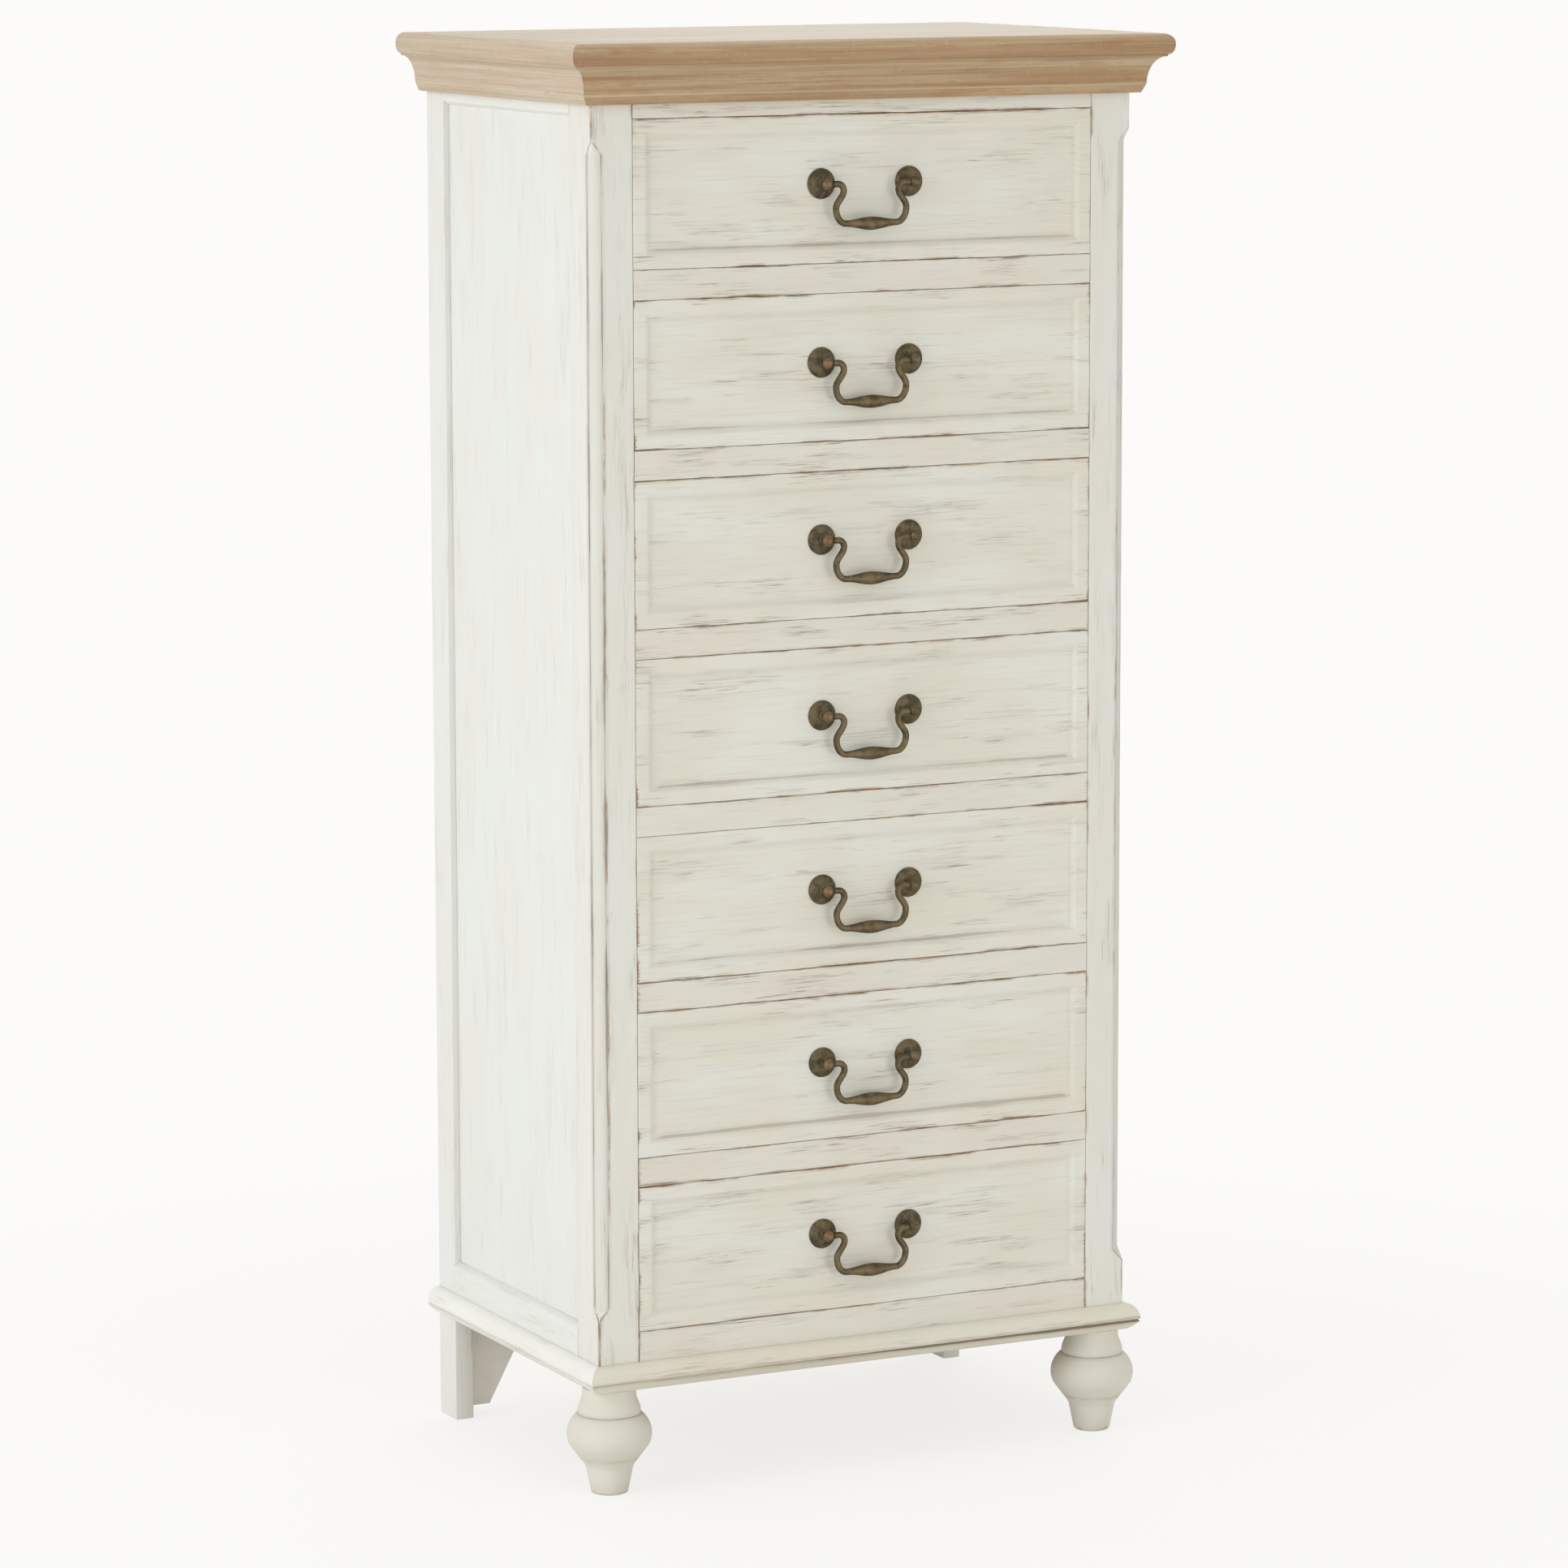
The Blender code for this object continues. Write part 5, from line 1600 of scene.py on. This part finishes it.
@dataclass
class DrawerBox:
    """Pine drawer box with through dovetails, and a pine bottom let into it.

    Attributes:
        number: Number of the drawer.
        wall: Thickness of the sides, inner front and back.
        raised: Height of the bottom over the lower edge.
        bottom: Thickness of the bottom.
        tails: Number of tails on each corner.
        pin: Width of a pin at its narrow end.
        flare: How much wider a pin is at its root, on each side.
        gap: Gap beside a pin.
    """

    number: int
    wall: float = 12 * MM
    raised: float = 9 * MM
    bottom: float = 6 * MM
    tails: int = 4
    pin: float = 5 * MM
    flare: float = 2 * MM
    gap: float = 0.1 * MM

    def corner(self, low: float, high: float) -> np.ndarray:
        """Outline of the tails up one end of a side, as (distance in, height).

        Each tail has four points: in at its lower shoulder, out, up, and in again.

        Args:
            low: Lower edge of the side.
            high: Its upper edge.

        Returns:
            The outline.
        """
        pitch, half = (high - low) / self.tails, self.pin / 2
        base = low + pitch * np.arange(self.tails)[:, None]
        heights = base + [half + self.flare, half, pitch - half, pitch - half - self.flare]
        tails = rows_of(np.array([self.wall, 0.0, 0.0, self.wall]), heights).reshape(-1, 2)
        ends = [[self.wall, low + 0.05 * MM]], [[self.wall, high - 0.05 * MM]]
        return np.concatenate([ends[0], tails, ends[1]])

    def pins(self, low: float, high: float) -> np.ndarray:
        """Outlines of the pins between the tails, as (distance in, height).

        Args:
            low: Lower edge of the side.
            high: Its upper edge.

        Returns:
            Four corners for each pin.
        """
        centre = (low + (high - low) / self.tails * np.arange(self.tails + 1))[:, None]
        half, root = self.pin / 2 - self.gap, self.pin / 2 + self.flare - self.gap
        heights = np.clip(centre + [-half, -root, root, half], low, high)
        return rows_of(np.array([0.0, self.wall, self.wall, 0.0]), heights)

    def build(self) -> None:
        """Make the box."""
        number, node, body = self.number, f"drawer_box_{self.number}", f"drawer_{self.number}"
        low, high = corners_of(node)
        levels = float(low[2]), float(high[2])
        ends = self.corner(*levels)
        near, far = ends + [low[1], 0.0], ends[::-1] * [-1.0, 1.0] + [high[1], 0.0]
        outline = outline_of(np.concatenate([near[::-1], far[::-1]]), 0.06)
        profile, arrises = board_profile(self.wall, 0.35 * MM, 1.6 * MM)
        faces = [side_on(way * high[0], way) for _, way in SIDES]
        sides = joined([carried_round(outline, profile, face, arrises) for face in faces])
        add_piece(f"box_sides_{number}", sides, Look.PINE_DEEP, body, [node])
        inner = high[0] - self.wall
        small, _ = board_profile(self.wall - 0.05 * MM, 0.2 * MM, 0.5 * MM)
        for word, start, way in (("inner_front", low[1], 1.0), ("back", high[1], -1.0)):
            front, back = sorted([start, start + way * self.wall])
            ends = (-inner, front, low[2]), (inner, back, high[2])
            pieces = [board(*ends, Facing.FRONT, 0.35 * MM, step=0.1)]
            shapes = self.pins(*levels) * [way, 1.0] + [start, 0.0]
            outlines = [outline_of(shape, 0.1) for shape in shapes]
            pieces += [carried_round(shape, small, face) for face in faces for shape in outlines]
            add_piece(f"box_{word}_{number}", joined(pieces), Look.PINE_WIDE, body)
        floor, gap = low[2] + self.raised, 2 * self.gap
        corner = np.array([inner - gap, high[1] - self.wall - gap, floor + self.bottom])
        ends = (gap - inner, low[1] + self.wall + gap, floor), corner
        panel = board(*ends, Facing.UP, 0.3 * MM, step=0.1)
        add_piece(f"box_bottom_{number}", panel, Look.PINE_WIDE, body)


@dataclass
class Handle:
    """Brass handle: two roses with turned posts, a swan-neck bail and two bolt heads.

    Attributes:
        number: Number of the drawer.
        centres: Distance between the posts.
        rose: Radius of a rose.
        dome: Height of its dome.
        standoff: Distance from the drawer to the bail's axis.
        rubbed: How bright the heads of the left and the right post are rubbed.
        head: Radius of a post's round head.
        rod: Radius of the bail's rod.
        grip: Radius of the bail's grip.
        pin: Radius of the bail's pins.
        drop: Depth of the grip under the pins.
        lift: How much higher the grip's ends lie than its middle.
        waist: Distance of the neck's top from the middle.
        belly: Distance of its foot.
        belly_drop: Depth of its foot under the pins.
        shoulder: Radius of the bend at the pin.
        corner: Width of the bend at the grip.
    """

    number: int
    centres: float = 96 * MM
    rose: float = 15 * MM
    dome: float = 5.2 * MM
    standoff: float = 13.5 * MM
    rubbed: tuple[float, float] = (1.2, 1.0)
    head: float = 5.5 * MM
    rod: float = 3.2 * MM
    grip: float = 6.5 * MM
    pin: float = 1.9 * MM
    drop: float = 39.0 * MM
    lift: float = 0.4 * MM
    waist: float = 30.0 * MM
    belly: float = 38.5 * MM
    belly_drop: float = 24.0 * MM
    shoulder: float = 6.5 * MM
    corner: float = 11.0 * MM

    def post(self) -> tuple[np.ndarray, list[int]]:
        """Profile of a rose and its post from the head's crown to the rose's rim.

        Returns:
            Rows of (radius, height) and the rows that hands rub bright.
        """
        crown = [[0.5, 18.7], [1.2, 18.95], [1.9, 18.9], [2.3, 18.55], [2.7, 18.5]]
        neck = [[3.5, 8.4], [3.35, 7.6], [3.5, 6.6], [4.6, 6.2], [5.0, 5.8], [4.9, 5.3]]
        rim = [[13.9, 1.45], [14.2, 1.35], [14.8, 1.2], [15.0, 0.8], [14.9, 0.3], [4.0, 0.3]]
        ball = bend(58, -46, 16) * self.head + [0.0, self.standoff]
        edge = 1.3 * MM
        dome = bend(70, 8, 14) * [self.rose - edge, self.dome - edge] + [0.0, edge]
        rows = [np.array(crown) * MM, ball, np.array(neck) * MM, dome, np.array(rim) * MM]
        return np.concatenate(rows), [1, 2, 8, 12]

    def path(self) -> tuple[np.ndarray, np.ndarray]:
        """Middle line of the bail and its radius, from pin to pin.

        The half on the right is made of a level pin, a quarter circle at the shoulder, half a
        cosine down the neck, a quarter ellipse at the corner and a level grip; the left half
        mirrors it.

        Returns:
            Rows of (across, up) and the radius at each.
        """
        face = self.centres / 2 - self.head
        start = rows_of(face + np.array([4.0, 2.0, -0.3, -1.2]) * MM, 0.0)
        turn = bend(90, 180, 10) * self.shoulder + [self.waist + self.shoulder, -self.shoulder]
        share = np.linspace(0.0, 1.0, 13)[1:]
        swing = (1.0 - np.cos(math.pi * share)) / 2
        down = self.shoulder + (self.belly_drop - self.shoulder) * share
        neck = rows_of(self.waist + (self.belly - self.waist) * swing, -down)
        elbow = bend(0, -90, 12)[1:] * [self.corner, self.drop - self.lift - self.belly_drop]
        elbow = elbow + [self.belly - self.corner, -self.belly_drop]
        part = np.linspace(0.0, 1.0, 15)[1:]
        rise = self.lift * np.cos(math.pi * part / 2) ** 2
        level = rows_of((self.belly - self.corner) * (1.0 - part), rise - self.drop)
        half = np.concatenate([start, turn, neck, elbow, level])
        radius = np.full(len(half), self.rod)
        radius[:3] = self.pin
        radius[-len(part):] += (self.grip - self.rod) * np.sin(math.pi * part / 2) ** 2
        whole = np.concatenate([half, half[-2::-1] * [-1.0, 1.0]])
        return whole, np.concatenate([radius, radius[-2::-1]])

    def build(self) -> None:
        """Make the handle and the bolt heads inside the drawer."""
        number, body, node = self.number, f"drawer_{self.number}", f"bail_{self.number}"
        low, high = corners_of(node)
        axis, level = (low[1] + high[1]) / 2, high[2] - self.rod
        profile, bright = self.post()
        for (word, side), rubbed in zip(SIDES, self.rubbed):
            place = Place((side * self.centres / 2, axis + self.standoff, level))
            skin = turned(profile, place, 40, bright)
            skin.arris = rubbed * skin.arris**2
            post = f"handle_post_{word}_{number}"
            add_piece(f"rose_{word}_{number}", skin, Look.BRASS, body, [post])
        skin = bar(*self.path(), Place((0.0, axis, level)), 20)
        add_piece(f"swan_neck_{number}", skin, Look.BRASS, node, [node])
        wall = float(corners_of(f"drawer_box_{number}")[0][1]) + DrawerBox.wall
        head = [[1.0, 0.0], [5.0, 0.0], [5.0, 0.8], [3.6, 0.9], [3.6, 1.6], [2.8, 2.6], [1.4, 3.0]]
        head = np.array([*head, [0.6, 3.05]]) * MM
        spots = [(side * self.centres / 2, wall, level) for _, side in SIDES]
        bolts = joined([turned(head, Place(spot, out=BACKWARD), 20) for spot in spots])
        add_piece(f"bolt_heads_{number}", bolts, Look.BRASS, body)


# Studio


@dataclass(frozen=True)
class Lamp:
    """Area lamp.

    Attributes:
        name: Name of the lamp.
        at: Its place.
        size: Its side.
        power: Its power, in watts.
        colour: Its colour.
    """

    name: str
    at: Triple
    size: float
    power: float
    colour: Triple

    def build(self, target: Triple) -> None:
        """Add the lamp, turned to the target.

        Args:
            target: Place that it shines at.
        """
        data = bpy.data.lights.new(self.name, "AREA")
        data.energy = self.power
        data.size = self.size
        data.color = self.colour
        lamp = bpy.data.objects.new(self.name, data)
        bpy.context.scene.collection.objects.link(lamp)
        lamp.location = self.at
        lamp.rotation_euler = (Vector(self.at) - Vector(target)).to_track_quat("Z", "Y").to_euler()


@dataclass
class Studio:
    """Pale floor, white surroundings, soft lamps and the camera.

    Attributes:
        eye: Place of the camera.
        yaw: Turn of the camera from straight back toward +X, in degrees.
        pitch: Its tilt, in degrees; negative looks down.
        roll: Its roll, in degrees.
        lens: Focal length for a 36 mm sensor.
        target: What the lamps are turned to.
        white: Colour of the background.
        paper: Colour of the floor.
        ambient: Strength of the light from all round.
        lamps: The lamps.
    """

    eye: Triple = (-2.8141, -5.5906, 1.6254)
    yaw: float = 26.7109
    pitch: float = -8.7122
    roll: float = -0.1318
    lens: float = 143.57
    target: Triple = (0.0, 0.0, 0.75)
    white: str = "fcfbf9"
    paper: str = "f8f7f4"
    ambient: float = 0.64
    lamps: tuple[Lamp, ...] = (
        Lamp("key", (-3.8, -0.9, 2.0), 2.4, 48.0, (0.97, 1.0, 1.05)),
        Lamp("low_side", (-3.5, -0.4, 0.35), 0.6, 8.5, (1.0, 0.98, 0.95)),
        Lamp("front_fill", (0.6, -4.6, 2.0), 2.6, 13.0, (1.0, 0.98, 0.91)),
        Lamp("low_fill", (0.9, -3.7, 0.35), 0.6, 11.5, (1.0, 0.98, 0.92)),
        Lamp("low_left", (-1.3, -3.6, 0.35), 0.6, 3.0, (1.0, 0.98, 0.92)),
        Lamp("overhead", (0.0, 0.2, 3.6), 2.0, 16.0, (1.0, 1.0, 1.0)),
        Lamp("rear_fill", (2.6, 3.4, 2.2), 2.4, 24.0, (1.0, 1.0, 1.0)),
    )

    def build(self) -> None:
        """Set up camera, lamps, floor and surroundings."""
        self.camera()
        for lamp in self.lamps:
            lamp.build(self.target)
        self.floor()
        self.surroundings()
        bpy.context.scene.view_settings.view_transform = "Standard"
        LOG.info("studio: camera at %s, %d lamps", self.eye, len(self.lamps))

    def camera(self) -> None:
        """Add the camera."""
        data = bpy.data.cameras.new("camera")
        data.lens = self.lens
        data.sensor_width = 36.0
        data.clip_end = 100.0
        camera = bpy.data.objects.new("camera", data)
        bpy.context.scene.collection.objects.link(camera)
        camera.location = self.eye
        turns = ((-self.yaw, "Z"), (90.0 + self.pitch, "X"), (self.roll, "Z"))
        turn, tilt, roll = [Matrix.Rotation(math.radians(angle), 3, axis) for angle, axis in turns]
        camera.rotation_euler = (turn @ tilt @ roll).to_euler()
        bpy.context.scene.camera = camera

    def floor(self) -> None:
        """Add the floor, a disc of rings about the tallboy that takes its shadow."""
        radius = np.concatenate([[0.02], np.linspace(0.3, 30.0, 40)])[:, None]
        angle = np.arange(64)[None, :] * math.tau / 64
        place = Place((0.0, 0.0, -0.4 * MM), up=BACKWARD, out=UPWARD)
        points = place.at(radius * np.cos(angle), radius * np.sin(angle), np.zeros(1))
        skin = closed_grid(points, np.zeros(1), np.zeros(1))
        mesh = bpy.data.meshes.new("floor")
        faces = skin.quads[:, ::-1].tolist() + [skin.caps[0].tolist()]
        mesh.from_pydata(skin.points.tolist(), [], faces)
        mesh.materials.append(self.floor_material())
        floor = bpy.data.objects.new("floor", mesh)
        bpy.context.scene.collection.objects.link(floor)

    def floor_material(self) -> bpy.types.Material:
        """Matt white paper that keeps a soft shadow near the feet and is plain white beyond.

        Returns:
            The material.
        """
        even = {"Base Color": linear(self.paper), "Roughness": 0.9, "Specular IOR Level": 0.1}
        material, shader = new_material("studio_paper", even)
        tree = material.node_tree
        spot = add_node(tree, "TexCoord").outputs["Object"]
        reach = add_node(tree, "VectorMath", {0: spot}, operation="LENGTH").outputs["Value"]
        inputs = {0: reach, 1: 0.5, 2: 1.6, 3: 0.8, 4: 1.0}
        far = add_node(tree, "MapRange", inputs, interpolation_type="SMOOTHSTEP")
        share = add_node(tree, "Math", {0: far, 1: self.seen(tree)}, operation="MULTIPLY")
        plain = add_node(tree, "Emission", {"Color": linear(self.white), "Strength": 1.0})
        both = add_node(tree, "MixShader", {0: share, 1: shader, 2: plain})
        tree.links.new(tree.nodes["Material Output"].inputs["Surface"], both.outputs[0])
        return material

    def seen(self, tree: bpy.types.NodeTree) -> bpy.types.Node:
        """Find the rays that show the background, by eye, mirror or glass.

        Args:
            tree: Node tree that gets the nodes.

        Returns:
            Node that is one for such rays.
        """
        ray = add_node(tree, "LightPath").outputs
        inputs = {0: ray["Is Camera Ray"], 1: ray["Is Glossy Ray"]}
        first = add_node(tree, "Math", inputs, operation="MAXIMUM")
        return add_node(tree, "Math", {0: first, 1: ray["Is Transmission Ray"]}, operation="MAXIMUM")

    def surroundings(self) -> None:
        """Give the world a plain white that the camera and glossy rays see, and a softer glow."""
        world = bpy.data.worlds.new("studio")
        world.use_nodes = True
        tree = world.node_tree
        tree.nodes.clear()
        glow = add_node(tree, "Background", {"Color": (1.0, 1.0, 1.0, 1.0), "Strength": self.ambient})
        plain = add_node(tree, "Background", {"Color": linear(self.white), "Strength": 1.0})
        both = add_node(tree, "MixShader", {0: self.seen(tree), 1: glow, 2: plain})
        add_node(tree, "OutputWorld", {"Surface": both})
        bpy.context.scene.world = world


def main() -> None:
    logging.basicConfig(level=logging.INFO, format="%(message)s")
    levels = Levels()
    for assembly in (Top(), Cornice(), FrontPost(), Sides(), Carcass(), BaseMoulding()):
        assembly.build(levels)
    FrontFoot().build()
    for number in DRAWERS:
        for assembly in (DrawerFront(number), DrawerBox(number), Handle(number)):
            assembly.build()
    Studio().build()


if __name__ == "__main__":
    main()
